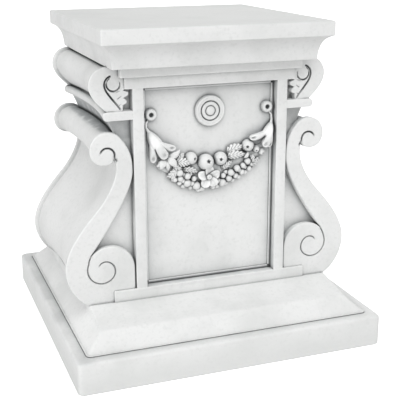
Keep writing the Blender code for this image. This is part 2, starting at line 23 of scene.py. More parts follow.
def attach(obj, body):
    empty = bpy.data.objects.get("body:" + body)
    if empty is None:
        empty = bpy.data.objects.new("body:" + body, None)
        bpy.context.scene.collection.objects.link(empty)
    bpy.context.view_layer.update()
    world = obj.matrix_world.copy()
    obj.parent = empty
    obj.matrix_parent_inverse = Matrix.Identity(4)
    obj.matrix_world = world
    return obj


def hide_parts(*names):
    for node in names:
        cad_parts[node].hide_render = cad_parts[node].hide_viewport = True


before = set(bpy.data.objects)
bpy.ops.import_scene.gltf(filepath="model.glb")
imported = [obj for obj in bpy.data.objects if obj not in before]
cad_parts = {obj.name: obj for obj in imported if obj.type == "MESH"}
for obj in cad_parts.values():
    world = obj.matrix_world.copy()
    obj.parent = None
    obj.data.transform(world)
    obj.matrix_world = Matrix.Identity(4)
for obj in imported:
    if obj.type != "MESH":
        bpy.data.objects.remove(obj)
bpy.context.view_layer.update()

LOG = logging.getLogger("plinth")
NODE = "plinth"
BODY = "root"

Point2 = tuple[float, float]
Point3 = tuple[float, float, float]
Tree = bpy.types.NodeTree
Socket = bpy.types.NodeSocket
BMesh = bmesh.types.BMesh


class Side(Enum):
    """The two flanks, by the sign of X."""

    LEFT = -1
    RIGHT = 1


class Face(Enum):
    """The two faces of the die, by the sign of Y."""

    FRONT = -1
    BACK = 1


class LeafForm(Enum):
    """How a leaf's outline swells along its length."""

    OVATE = "ovate"
    LANCE = "lance"
    PETAL = "petal"
    FLUTE = "flute"


@dataclass(frozen=True)
class Levels:
    """Heights and planes that the sub-assemblies share."""

    slab_top: float = 0.0397
    slope_top: float = 0.060
    shelf_top: float = 0.070
    die_foot: float = 0.0843
    die_top: float = 0.3283
    lower_fillet_top: float = 0.3424
    upper_fillet_top: float = 0.3538
    cavetto_top: float = 0.3824
    top: float = 0.400
    band_foot: float = 0.2927
    band_top: float = 0.3032
    front: float = 0.1062
    panel: float = 0.0942
    bead: float = 0.0982
    infill: float = 0.0912
    side_face: float = 0.1037
    stile_out: float = 0.0976
    stile_in: float = 0.0843
    embed: float = 0.002


LEVELS = Levels()


# Lines in a plane


def arc(centre: Point2, radius: float, start: float, end: float, steps: int,
        end_radius: float | None = None) -> list[Point2]:
    """Trace an arc whose radius may change along it.

    Args:
        centre: Centre of the arc.
        radius: Radius at the start.
        start: First angle in degrees.
        end: Last angle in degrees.
        steps: Number of steps between them.
        end_radius: Radius at the end, or the same radius.

    Returns:
        The points along the arc.
    """
    last = radius if end_radius is None else end_radius
    points = []
    for i in range(steps + 1):
        t = i / steps
        angle = math.radians(start + (end - start) * t)
        r = radius + (last - radius) * t
        points.append((centre[0] + r * math.cos(angle), centre[1] + r * math.sin(angle)))
    return points


def bezier(a: Sequence[float], b: Sequence[float], c: Sequence[float], d: Sequence[float],
           steps: int) -> list[tuple[float, ...]]:
    """Trace a cubic curve from a to d with b and c as its handles.

    Args:
        a: First point, of two or three numbers.
        b: First handle.
        c: Second handle.
        d: Last point.
        steps: Number of steps.

    Returns:
        The points along the curve.
    """
    points = []
    for i in range(steps + 1):
        t = i / steps
        s = 1 - t
        weights = (s ** 3, 3 * s * s * t, 3 * s * t * t, t ** 3)
        points.append(tuple(sum(w * p[k] for w, p in zip(weights, (a, b, c, d)))
                            for k in range(len(a))))
    return points


def chain(*runs: Sequence[Point2]) -> list[Point2]:
    """Join runs of points into one line without repeating a shared end."""
    line: list[Point2] = []
    for run in runs:
        for point in run:
            if not line or math.dist(point, line[-1]) > 1e-5:
                line.append(point)
    return line


def rounded(points: Sequence[Point2], radii: Sequence[float], steps: int = 5) -> list[Point2]:
    """Round the inner corners of an open line.

    Args:
        points: The line's corners.
        radii: One radius for each corner; the two ends are not read.
        steps: Steps in each rounding.

    Returns:
        The line with arcs in place of its corners.
    """
    line = [points[0]]
    for i in range(1, len(points) - 1):
        corner = Vector(points[i])
        back = (Vector(points[i - 1]) - corner)
        ahead = (Vector(points[i + 1]) - corner)
        half_angle = back.angle(ahead) / 2
        run = min(radii[i] / math.tan(half_angle), 0.49 * back.length, 0.49 * ahead.length)
        start = corner + back.normalized() * run
        end = corner + ahead.normalized() * run
        if radii[i] <= 0:
            line.append(tuple(corner))
            continue
        hand = 0.55
        line += bezier(tuple(start), tuple(start.lerp(corner, hand)),
                       tuple(end.lerp(corner, hand)), tuple(end), steps)
    line.append(points[-1])
    return line


def nearest(points: np.ndarray, line: np.ndarray, closed: bool) -> tuple[np.ndarray, np.ndarray]:
    """Measure points against a line.

    Args:
        points: Points as rows of two numbers.
        line: The line's points.
        closed: Whether the last point joins the first.

    Returns:
        The distance of each point, and how far along the line its nearest place lies.
    """
    start = line if closed else line[:-1]
    end = np.roll(line, -1, axis=0) if closed else line[1:]
    run = end - start
    length = np.maximum(np.hypot(run[:, 0], run[:, 1]), 1e-12)
    before = np.concatenate(([0.0], np.cumsum(length)[:-1]))
    best = np.full(len(points), np.inf)
    along = np.zeros(len(points))
    for i in range(len(start)):
        t = np.clip(((points - start[i]) @ run[i]) / length[i] ** 2, 0, 1)
        gap = points - start[i] - t[:, None] * run[i]
        distance = np.hypot(gap[:, 0], gap[:, 1])
        closer = distance < best
        best[closer] = distance[closer]
        along[closer] = before[i] + t[closer] * length[i]
    return best, along


def drawn_in(outline: Sequence[Point2], distance: float) -> list[Point2]:
    """Move a closed outline inwards, and draw folded corners onto a chord.

    Args:
        outline: The closed outline.
        distance: How far to move it.

    Returns:
        As many points as the outline has.
    """
    if distance <= 0:
        return list(outline)
    points = np.array(outline)
    before = points - np.roll(points, 1, axis=0)
    after = np.roll(points, -1, axis=0) - points
    before /= np.linalg.norm(before, axis=1)[:, None]
    after /= np.linalg.norm(after, axis=1)[:, None]
    last = np.roll(points, 1, axis=0)
    turn = 1.0 if np.sum(last[:, 0] * points[:, 1] - points[:, 0] * last[:, 1]) > 0 else -1.0
    normal_before = np.stack((-before[:, 1], before[:, 0]), axis=1) * turn
    normal = normal_before + np.stack((-after[:, 1], after[:, 0]), axis=1) * turn
    normal /= np.maximum(np.linalg.norm(normal, axis=1)[:, None], 1e-9)
    spread = np.maximum(np.sum(normal * normal_before, axis=1), 0.6)
    moved = points + normal * (distance / spread)[:, None]
    gap, _ = nearest(moved, points, True)
    sound = np.flatnonzero(gap > 0.96 * distance)
    if len(sound) < 3:
        return [tuple(p) for p in moved]
    count = len(points)
    for k, first in enumerate(sound):
        second = sound[(k + 1) % len(sound)]
        width = (second - first) % count
        for j in range(1, width):
            moved[(first + j) % count] = (moved[first] * (width - j) + moved[second] * j) / width
    return [tuple(p) for p in moved]


# Meshes


def linked(name: str, data: bpy.types.ID) -> bpy.types.Object:
    """Make an object of mesh, light or camera data and link it to the scene."""
    obj = bpy.data.objects.new(name, data)
    bpy.context.scene.collection.objects.link(obj)
    return obj


def mend(obj: bpy.types.Object) -> None:
    """Merge the doubles of a finished mesh and turn its faces outwards."""
    data = bmesh.new()
    data.from_mesh(obj.data)
    bmesh.ops.remove_doubles(data, verts=data.verts, dist=1e-6)
    bmesh.ops.recalc_face_normals(data, faces=data.faces)
    data.to_mesh(obj.data)
    data.free()


def to_object(name: str, mesh_data: BMesh, crease: float = 32.0,
              merge: float = 2e-6) -> bpy.types.Object:
    """Turn mesh data into a finished object with outward faces and soft shading.

    Args:
        name: Name of the object.
        mesh_data: The mesh data, which is freed.
        crease: Angle in degrees over which an edge stays sharp.
        merge: Distance within which points are merged.

    Returns:
        The new object, linked to the scene.
    """
    bmesh.ops.remove_doubles(mesh_data, verts=mesh_data.verts, dist=merge)
    bmesh.ops.dissolve_degenerate(mesh_data, edges=mesh_data.edges, dist=merge)
    bmesh.ops.recalc_face_normals(mesh_data, faces=mesh_data.faces)
    mesh = bpy.data.meshes.new(name)
    mesh_data.to_mesh(mesh)
    mesh_data.free()
    mesh.shade_smooth()
    mesh.set_sharp_from_angle(angle=math.radians(crease))
    return linked(name, mesh)


def skin(mesh_data: BMesh, loops: Sequence[Sequence[Point3]],
         caps: bool = True) -> list[list[bmesh.types.BMVert]]:
    """Skin loops that have equal counts of points.

    Args:
        mesh_data: Mesh data to add to.
        loops: The loops, each a ring of points.
        caps: Whether flat faces close the two ends.

    Returns:
        The rings of new points.
    """
    rings = [[mesh_data.verts.new(point) for point in loop] for loop in loops]
    count = len(rings[0])
    for low, high in zip(rings, rings[1:]):
        for i in range(count):
            j = (i + 1) % count
            mesh_data.faces.new((low[i], low[j], high[j], high[i]))
    if caps:
        mesh_data.faces.new(list(reversed(rings[0])))
        mesh_data.faces.new(rings[-1])
    return rings


def plan_ring(half_x: float, half_y: float, z: float, radius: float,
              centre: Point2 = (0.0, 0.0), steps: int = 6) -> list[Point3]:
    """Trace a rounded rectangle in plan, counter-clockwise from above.

    Args:
        half_x: Half its width.
        half_y: Half its depth.
        z: Its height above the ground.
        radius: Radius of its corners.
        centre: Its middle in plan.
        steps: Steps in each corner.

    Returns:
        The ring's points.
    """
    loop = []
    for sign_x, sign_y, start in ((1, 1, 0), (-1, 1, 90), (-1, -1, 180), (1, -1, 270)):
        corner = (centre[0] + sign_x * (half_x - radius), centre[1] + sign_y * (half_y - radius))
        loop += [(x, y, z) for x, y in arc(corner, radius, start, start + 90, steps)]
    return loop


def soft_block(mesh_data: BMesh, low: Point3, high: Point3, edge: float,
               soft_top: bool = True, soft_foot: bool = True) -> None:
    """Add a block whose edges are rounded as in a casting.

    Args:
        mesh_data: Mesh data to add to.
        low: Its lowest corner.
        high: Its highest corner.
        edge: Radius of its edges.
        soft_top: Whether the top edge is rounded.
        soft_foot: Whether the bottom edge is rounded.
    """
    centre = ((low[0] + high[0]) / 2, (low[1] + high[1]) / 2)
    half_x = (high[0] - low[0]) / 2
    half_y = (high[1] - low[1]) / 2
    rises = []
    if soft_foot:
        rises += [(edge - edge * math.cos(a), low[2] + edge - edge * math.sin(a))
                  for a in (math.radians(90 - 18 * k) for k in range(5))]
    rises += [(0.0, low[2] + (edge if soft_foot else 0.0)),
              (0.0, high[2] - (edge if soft_top else 0.0))]
    if soft_top:
        rises += [(edge - edge * math.cos(a), high[2] - edge + edge * math.sin(a))
                  for a in (math.radians(18 * k) for k in range(1, 6))]
    skin(mesh_data, [plan_ring(half_x - inset, half_y - inset, z, max(edge - inset, 2e-5),
                               centre, 4) for inset, z in rises])


def lathe(mesh_data: BMesh, profile: Sequence[Point2], origin: Sequence[float],
          axis: Sequence[float], sides: int,
          swell: Callable[[float, float], float] | None = None) -> None:
    """Turn a profile of (radius, distance) pairs about an axis.

    Args:
        mesh_data: Mesh data to add to.
        profile: Radius and distance along the axis, from the foot to the crown.
        origin: Start of the axis.
        axis: Direction of the axis.
        sides: Number of sides.
        swell: Factor on the radius for a distance share and an angle, or None.
    """
    direction = Vector(axis).normalized()
    across = direction.orthogonal().normalized()
    third = direction.cross(across)
    loops = []
    for k, (radius, distance) in enumerate(profile):
        loop = []
        for i in range(sides):
            angle = 2 * math.pi * i / sides
            r = max(radius, 1e-6)
            if swell is not None:
                r *= swell(k / (len(profile) - 1), angle)
            point = Vector(origin) + direction * distance
            point += across * r * math.cos(angle) + third * r * math.sin(angle)
            loop.append(tuple(point))
        loops.append(loop)
    skin(mesh_data, loops)


# Geometry node trees


@dataclass
class Recipe:
    """A geometry node tree under construction, with named inputs for its sizes."""

    name: str
    tree: bpy.types.GeometryNodeTree = field(init=False)
    inputs: dict[str, str] = field(init=False, default_factory=dict)
    source: bpy.types.Node = field(init=False)
    sink: bpy.types.Node = field(init=False)

    def __post_init__(self) -> None:
        """Start the tree with a geometry input, a material input and a geometry output."""
        self.tree = bpy.data.node_groups.new(self.name, "GeometryNodeTree")
        self.tree.interface.new_socket("Geometry", in_out="INPUT",
                                       socket_type="NodeSocketGeometry")
        self.tree.interface.new_socket("Geometry", in_out="OUTPUT",
                                       socket_type="NodeSocketGeometry")
        self.source = self.tree.nodes.new("NodeGroupInput")
        self.sink = self.tree.nodes.new("NodeGroupOutput")
        self.add_input("Finish", "NodeSocketMaterial")

    def add_input(self, name: str, kind: str) -> None:
        """Give the tree one more named input."""
        socket = self.tree.interface.new_socket(name, in_out="INPUT", socket_type=kind)
        self.inputs[name] = socket.identifier

    def node(self, kind: str, **settings: object) -> bpy.types.Node:
        """Add a node and set its own properties."""
        made = self.tree.nodes.new(kind)
        for key, value in settings.items():
            setattr(made, key, value)
        return made

    def link(self, start: Socket, end: Socket) -> None:
        """Join two sockets."""
        self.tree.links.new(start, end)

    def feed(self, name: str, end: Socket) -> None:
        """Bring a named input of the tree into a socket."""
        self.link(self.source.outputs[name], end)

    def close(self, result: Socket) -> None:
        """End the tree: instances become real and take the finish."""
        realize = self.node("GeometryNodeRealizeInstances")
        dress = self.node("GeometryNodeSetMaterial")
        self.link(result, realize.inputs["Geometry"])
        self.link(realize.outputs["Geometry"], dress.inputs["Geometry"])
        self.feed("Finish", dress.inputs["Material"])
        self.link(dress.outputs["Geometry"], self.sink.inputs["Geometry"])

    def bake(self, obj: bpy.types.Object, finish: bpy.types.Material,
             **values: object) -> bpy.types.Object:
        """Run the tree on an object and leave a plain mesh.

        Args:
            obj: The object, whose mesh is the tree's geometry input.
            finish: Material for the result.
            values: The named inputs, with spaces written as underscores.

        Returns:
            The same object with its new mesh and no modifier.
        """
        modifier = obj.modifiers.new(self.name, "NODES")
        modifier.node_group = self.tree
        modifier[self.inputs["Finish"]] = finish
        for key, value in values.items():
            modifier[self.inputs[key.replace("_", " ")]] = value
        graph = bpy.context.evaluated_depsgraph_get()
        mesh = bpy.data.meshes.new_from_object(obj.evaluated_get(graph))
        obj.modifiers.clear()
        obj.data = mesh
        return obj


# Finishes


@dataclass(frozen=True)
class Patches:
    """Soft-edged patches: noise of one scale, mapped from low and high onto 0 and top."""

    scale: float
    detail: float
    low: float
    high: float
    top: float = 1.0


@dataclass(frozen=True)
class Grain:
    """Relief of the bare surface: noise of one scale, with its strength and its depth."""

    scale: float
    detail: float
    strength: float
    depth: float


@dataclass(frozen=True)
class CastStone:
    """White cast stone: grey washes and painted shade in hollows and inner corners, painted
    highlight on edges.
    """

    name: str = "cast_stone"
    pale: Point3 = (0.80, 0.805, 0.80)
    cloud: Point3 = (0.655, 0.665, 0.655)
    # Grey of the washes: partly the stone's own grey, partly painted shade in hollows.
    wash_and_shade: Point3 = (0.36, 0.375, 0.38)
    # Near black of crevices and grooves: dirt and painted shade.
    crevice_dirt_and_shade: Point3 = (0.085, 0.09, 0.092)
    # Pale of convex edges: partly worn stone, partly a painted highlight.
    pale_edge_and_highlight: Point3 = (0.95, 0.955, 0.95)
    wash_and_shade_reach: float = 0.026
    crevice_reach: float = 0.0048
    edge_reach: float = 0.0028
    wash_and_shade_strength: float = 0.80
    crevice_strength: float = 0.96
    edge_strength: float = 0.75
    wash_and_shade_maps: tuple[Point2, Point2] = ((0.64, 0.20), (0.92, 0.38))
    crevice_maps: tuple[Point2, Point2] = ((0.76, 0.28), (0.86, 0.34))
    edge_map: Point2 = (0.80, 0.30)
    clouds: Patches = Patches(16.0, 6.0, 0.40, 0.74, 0.60)
    flecks: Patches = Patches(230.0, 3.0, 0.48, 0.78, 0.45)
    wash_and_shade_patches: Patches = Patches(38.0, 6.0, 0.25, 0.75)
    wash_and_shade_spread: Point2 = (0.75, 0.52)
    ledge_patches: Patches = Patches(21.0, 5.0, 0.36, 0.64)
    gap_patches: Patches = Patches(70.0, 6.0, 0.26, 0.56)
    # Places where grey washes and painted shade are laid darker.
    deep_boxes: tuple[tuple[Point2, Point2], ...] = (((0.0, 0.0850), (0.2063, 0.1235)),
                                                     ((0.1300, 0.0310), (0.2975, 0.0275)),
                                                     ((0.0, 0.2000), (0.0400, 0.0015)))
    box_fade: float = 0.004
    # The foot greys towards the ground; the top face greys as painted shade.
    ground_map: Point2 = (0.044, 0.012)
    top_map: Point2 = (0.0020, 0.0002)
    ground_strength: float = 0.64
    ledge_from: float = -0.168
    ledge_full: float = -0.180
    ledge_half: float = 0.0006
    ledge_strength: float = 0.29
    # Box on the rolls under the bands that takes dirt and painted shade.
    gap_box: tuple[Point2, Point2, Point2] = ((0.1150, 0.0130), (0.0, 0.0860), (0.2810, 0.0080))
    gap_strength: float = 0.80
    recess_box: tuple[Point2, Point2] = ((0.1080, 0.0090), (0.3155, 0.0125))
    recess_share: float = 0.60
    waves: Grain = Grain(34.0, 2.0, 0.55, 0.0012)
    grain: Grain = Grain(520.0, 4.0, 0.35, 0.0003)
    pin_hole_scale: float = 160.0
    pin_hole_map: Point2 = (0.03, 0.14)
    pin_hole_bump: Point2 = (0.25, 0.0003)
    roughness: float = 0.66
    grain_roughness: float = 0.22
    wash_and_shade_roughness: float = 0.18
    samples: int = 6

    def material(self) -> bpy.types.Material:
        """Build the node material.

        Returns:
            The stone's material.
        """
        made = bpy.data.materials.new(self.name)
        made.use_nodes = True
        tree = made.node_tree
        shader = tree.nodes["Principled BSDF"]
        shader.inputs["IOR"].default_value = 1.46
        shader.inputs["Specular IOR Level"].default_value = 0.35
        place = tree.nodes.new("ShaderNodeTexCoord").outputs["Object"]
        deep, recess_keep = self.deep_places(tree, place), self.eased_recesses(tree, place)
        # Grey washes and painted shade, laid by how open each place is.
        wash_and_shade = self.wash_and_shade_share(tree, place, deep, recess_keep)
        stone = self.mixed(tree, self.bare(tree, place), self.wash_and_shade, wash_and_shade)
        # Convex edges lightened: wear with a painted highlight.
        edge = self.ramped_down(tree, self.openness(tree, self.edge_reach, True), *self.edge_map)
        edge = self.math(tree, "MULTIPLY", edge, self.edge_strength)
        stone = self.mixed(tree, stone, self.pale_edge_and_highlight, edge)
        # Crevices and grooves painted near black: dirt with painted shade.
        crevice_dirt_and_shade = self.hollow(tree, self.crevice_reach, *self.crevice_maps, deep)
        crevice_dirt_and_shade = self.math(tree, "MULTIPLY", crevice_dirt_and_shade, self.crevice_strength)
        crevice_dirt_and_shade = self.math(tree, "MULTIPLY", crevice_dirt_and_shade, recess_keep)
        stone = self.mixed(tree, stone, self.crevice_dirt_and_shade, crevice_dirt_and_shade)
        tree.links.new(stone, shader.inputs["Base Color"])
        self.roughen(tree, place, wash_and_shade, shader)
        self.relief(tree, place, shader)
        return made

    def bare(self, tree: Tree, place: Socket) -> Socket:
        """Colour open faces: clouds, flecks, greyer foot and ledge, painted shade on top, dirt and
        painted shade under bands.
        """
        stone = self.mixed(tree, self.pale, self.cloud, self.patched(tree, place, self.clouds))
        stone = self.mixed(tree, stone, self.cloud, self.patched(tree, place, self.flecks))
        stone = self.mixed(tree, stone, self.cloud, self.foot_grey_and_top_shade(tree, place))
        stone = self.mixed(tree, stone, self.wash_and_shade, self.ledge_greying(tree, place))
        return self.mixed(tree, stone, self.wash_and_shade, self.gap_dirt_and_shade(tree, place))

    def wash_and_shade_share(self, tree: Tree, place: Socket, deep: Socket, recess_keep: Socket) -> Socket:
        """Tell how much grey and painted shade a place takes, from how open it is.

        Args:
            tree: The material's tree.
            place: Object coordinates.
            deep: Where the grey washes and painted shade are strongest.
            recess_keep: How much of them a place keeps, less in the recesses.

        Returns:
            A value from 0 to 1.
        """
        wash_and_shade = self.hollow(tree, self.wash_and_shade_reach, *self.wash_and_shade_maps, deep)
        patch = self.patched(tree, place, self.wash_and_shade_patches)
        patch = self.math(tree, "MULTIPLY_ADD", patch, *self.wash_and_shade_spread)
        for share in (patch, self.wash_and_shade_strength, recess_keep):
            wash_and_shade = self.math(tree, "MULTIPLY", wash_and_shade, share)
        return wash_and_shade

    def noise(self, tree: Tree, place: Socket, scale: float, detail: float) -> Socket:
        """Add a noise texture in object space and return its value."""
        node = tree.nodes.new("ShaderNodeTexNoise")
        node.inputs["Scale"].default_value = scale
        node.inputs["Detail"].default_value = detail
        node.inputs["Roughness"].default_value = 0.55
        tree.links.new(place, node.inputs["Vector"])
        return node.outputs["Fac"]

    def ramped(self, tree: Tree, value: Socket, low: float, high: float, top: float) -> Socket:
        """Map a value smoothly from between low and high to between 0 and top."""
        node = tree.nodes.new("ShaderNodeMapRange")
        node.interpolation_type = "SMOOTHSTEP"
        node.inputs["From Min"].default_value = low
        node.inputs["From Max"].default_value = high
        node.inputs["To Max"].default_value = top
        tree.links.new(value, node.inputs["Value"])
        return node.outputs["Result"]

    def patched(self, tree: Tree, place: Socket, patches: Patches) -> Socket:
        """Lay patches over the stone and return their share."""
        noise = self.noise(tree, place, patches.scale, patches.detail)
        return self.ramped(tree, noise, patches.low, patches.high, patches.top)

    def math(self, tree: Tree, operation: str, *values: Socket | float) -> Socket:
        """Add a math node on sockets or numbers and return its value."""
        node = tree.nodes.new("ShaderNodeMath")
        node.operation = operation
        for socket, value in zip(node.inputs, values):
            if isinstance(value, (int, float)):
                socket.default_value = value
            else:
                tree.links.new(value, socket)
        return node.outputs["Value"]

    def mixed(self, tree: Tree, first: Socket | Point3, second: Point3, factor: Socket) -> Socket:
        """Mix a colour or socket with a second colour."""
        node = tree.nodes.new("ShaderNodeMix")
        node.data_type = "RGBA"
        colours = [socket for socket in node.inputs if socket.type == "RGBA"]
        if isinstance(first, tuple):
            colours[0].default_value = (*first, 1.0)
        else:
            tree.links.new(first, colours[0])
        colours[1].default_value = (*second, 1.0)
        tree.links.new(factor, node.inputs["Factor"])
        return next(out for out in node.outputs if out.type == "RGBA")

    def openness(self, tree: Tree, reach: float, inside: bool) -> Socket:
        """Measure how open a place is, or with inside how much stone lies behind it.

        Args:
            tree: The material's tree.
            reach: How far the surroundings count.
            inside: Whether to look into the stone instead of out of it.

        Returns:
            1 where nothing is near, less where more is near.
        """
        node = tree.nodes.new("ShaderNodeAmbientOcclusion")
        node.samples = self.samples
        node.inside = inside
        node.only_local = inside
        node.inputs["Distance"].default_value = reach
        return node.outputs["AO"]

    def hollow(self, tree: Tree, reach: float, usual: tuple[float, float],
               strong: tuple[float, float], deep: Socket) -> Socket:
        """Tell how dark a place is painted from how open it is: grey washes and painted shade.

        Args:
            tree: The material's tree.
            reach: How far the surroundings count.
            usual: Openness at which the darkening starts and at which it is full.
            strong: The same where the darkening is strongest.
            deep: Share of the strong values at this place.

        Returns:
            A value from 0 to 1.
        """
        # The less open a place, the darker it is painted: painted shade with dirt.
        open_ = self.openness(tree, reach, False)
        low = self.ramped_down(tree, open_, *usual)
        more = self.math(tree, "SUBTRACT", self.ramped_down(tree, open_, *strong), low)
        return self.math(tree, "MULTIPLY_ADD", more, deep, low)

    def axes(self, tree: Tree, place: Socket) -> tuple[Socket, Socket, Socket]:
        """Split a place into its X, Y and Z."""
        split = tree.nodes.new("ShaderNodeSeparateXYZ")
        tree.links.new(place, split.inputs["Vector"])
        return split.outputs["X"], split.outputs["Y"], split.outputs["Z"]

    def boxed(self, tree: Tree, values: Sequence[Socket], box: Sequence[Point2]) -> Socket:
        """Give 1 where every value lies in its span of the box, and fall off outside."""
        shares = [self.within(tree, value, *span) for value, span in zip(values, box)]
        inside = shares[0]
        for share in shares[1:]:
            inside = self.math(tree, "MULTIPLY", inside, share)
        return inside

    def deep_places(self, tree: Tree, place: Socket) -> Socket:
        """Mark the sunk panels and the places round the capitals, where grey washes and painted
        shade are laid darker.
        """
        x, _, z = self.axes(tree, place)
        across = self.math(tree, "ABSOLUTE", x)
        boxes = [self.boxed(tree, (across, z), box) for box in self.deep_boxes]
        deep = boxes[0]
        for box in boxes[1:]:
            deep = self.math(tree, "MAXIMUM", deep, box)
        return deep

    def foot_grey_and_top_shade(self, tree: Tree, place: Socket) -> Socket:
        """Grey the stone a little towards the ground, and paint shade onto the top face."""
        height = self.axes(tree, place)[2]
        low = self.ramped_down(tree, height, *self.ground_map)
        # Painted shade on the top face.
        high = self.ramped_down(tree, height, *(LEVELS.top - depth for depth in self.top_map))
        share = self.math(tree, "MAXIMUM", low, high)
        return self.math(tree, "MULTIPLY", share, self.ground_strength)

    def ledge_greying(self, tree: Tree, place: Socket) -> Socket:
        """Grey the slab's left ledge in patches."""
        x, _, z = self.axes(tree, place)
        ledge = self.within(tree, z, LEVELS.slab_top, self.ledge_half)
        left = self.ramped_down(tree, x, self.ledge_from, self.ledge_full)
        patch = self.patched(tree, place, self.ledge_patches)
        share = self.math(tree, "MULTIPLY", ledge, self.math(tree, "MULTIPLY", left, patch))
        return self.math(tree, "MULTIPLY", share, self.ledge_strength)

    def gap_dirt_and_shade(self, tree: Tree, place: Socket) -> Socket:
        """Lay mottled dirt and painted shade on top of the consoles' rolls, under the bands."""
        x, y, z = self.axes(tree, place)
        inside = self.boxed(tree, (self.math(tree, "ABSOLUTE", x), y, z), self.gap_box)
        patch = self.patched(tree, place, self.gap_patches)
        # Mottled grey where the bands shade the rolls: dirt and painted shade.
        share = self.math(tree, "MULTIPLY", patch, inside)
        return self.math(tree, "MULTIPLY", share, self.gap_strength)

    def eased_recesses(self, tree: Tree, place: Socket) -> Socket:
        """Weaken the grey washes and painted shade in the recesses beside the capitals' leaves."""
        x, _, z = self.axes(tree, place)
        inside = self.boxed(tree, (self.math(tree, "ABSOLUTE", x), z), self.recess_box)
        # Painted shade and grey washes are weakened inside the recess box.
        return self.math(tree, "MULTIPLY_ADD", inside, -self.recess_share, 1.0)

    def within(self, tree: Tree, value: Socket, middle: float, half: float) -> Socket:
        """Give 1 within half of the middle, and fall off softly outside."""
        gap = self.math(tree, "ABSOLUTE", self.math(tree, "SUBTRACT", value, middle))
        return self.ramped_down(tree, gap, half + self.box_fade, half)

    def ramped_down(self, tree: Tree, value: Socket, open_: float, shut: float) -> Socket:
        """Map a value from open_ down to shut onto 0 to 1."""
        node = tree.nodes.new("ShaderNodeMapRange")
        node.inputs["From Min"].default_value = open_
        node.inputs["From Max"].default_value = shut
        tree.links.new(value, node.inputs["Value"])
        return node.outputs["Result"]

    def roughen(self, tree: Tree, place: Socket, wash_and_shade: Socket, shader: bpy.types.Node) -> None:
        """Vary the roughness, with greyed and painted-shade places duller than the bare stone."""
        grain = self.noise(tree, place, 420.0, 2.0)
        value = self.math(tree, "MULTIPLY_ADD", grain, self.grain_roughness,
                          self.roughness - self.grain_roughness / 2)
        value = self.math(tree, "MULTIPLY_ADD", wash_and_shade, self.wash_and_shade_roughness, value)
        tree.links.new(value, shader.inputs["Roughness"])

    def relief(self, tree: Tree, place: Socket, shader: bpy.types.Node) -> None:
        """Add the casting's slow waves, its grain and its pin holes as bump.

        Args:
            tree: The material's tree.
            place: Object coordinates.
            shader: The node that takes the normal.
        """
        normal = None
        for layer in (self.waves, self.grain):
            height = self.noise(tree, place, layer.scale, layer.detail)
            normal = self.bump(tree, height, layer.strength, layer.depth, normal)
        holes = tree.nodes.new("ShaderNodeTexVoronoi")
        holes.inputs["Scale"].default_value = self.pin_hole_scale
        tree.links.new(place, holes.inputs["Vector"])
        spots = self.ramped(tree, holes.outputs["Distance"], *self.pin_hole_map, 1.0)
        normal = self.bump(tree, spots, *self.pin_hole_bump, normal)
        tree.links.new(normal, shader.inputs["Normal"])

    def bump(self, tree: Tree, height: Socket, strength: float, distance: float,
             over: Socket | None = None) -> Socket:
        """Turn a height into a normal, laid over another normal if one is given."""
        node = tree.nodes.new("ShaderNodeBump")
        node.inputs["Strength"].default_value = strength
        node.inputs["Distance"].default_value = distance
        tree.links.new(height, node.inputs["Height"])
        if over is not None:
            tree.links.new(over, node.inputs["Normal"])
        return node.outputs["Normal"]


@dataclass(frozen=True)
class PaleFloor:
    """The plain white floor of the studio."""

    name: str = "studio_white"
    colour: Point3 = (0.92, 0.92, 0.92)
    lift: float = 0.55

    def material(self) -> bpy.types.Material:
        """Build the floor's material."""
        made = bpy.data.materials.new(self.name)
        made.use_nodes = True
        shader = made.node_tree.nodes["Principled BSDF"]
        shader.inputs["Base Color"].default_value = (*self.colour, 1.0)
        shader.inputs["Roughness"].default_value = 0.9
        shader.inputs["Specular IOR Level"].default_value = 0.0
        shader.inputs["Emission Color"].default_value = (1.0, 1.0, 1.0, 1.0)
        shader.inputs["Emission Strength"].default_value = self.lift
        return made


@dataclass
class SubAssembly:
    """What every sub-assembly has: its stone, and the pieces it has made."""

    stone: bpy.types.Material
    pieces: list[bpy.types.Object] = field(init=False, default_factory=list)

    def dress(self, obj: bpy.types.Object) -> bpy.types.Object:
        """Give a piece its finish and let it stand for the casting.

        Args:
            obj: The finished piece.

        Returns:
            The same piece.
        """
        if not obj.data.materials:
            obj.data.materials.append(self.stone)
        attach(obj, BODY)
        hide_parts(NODE)
        self.pieces.append(obj)
        return obj


# Base, die and crown


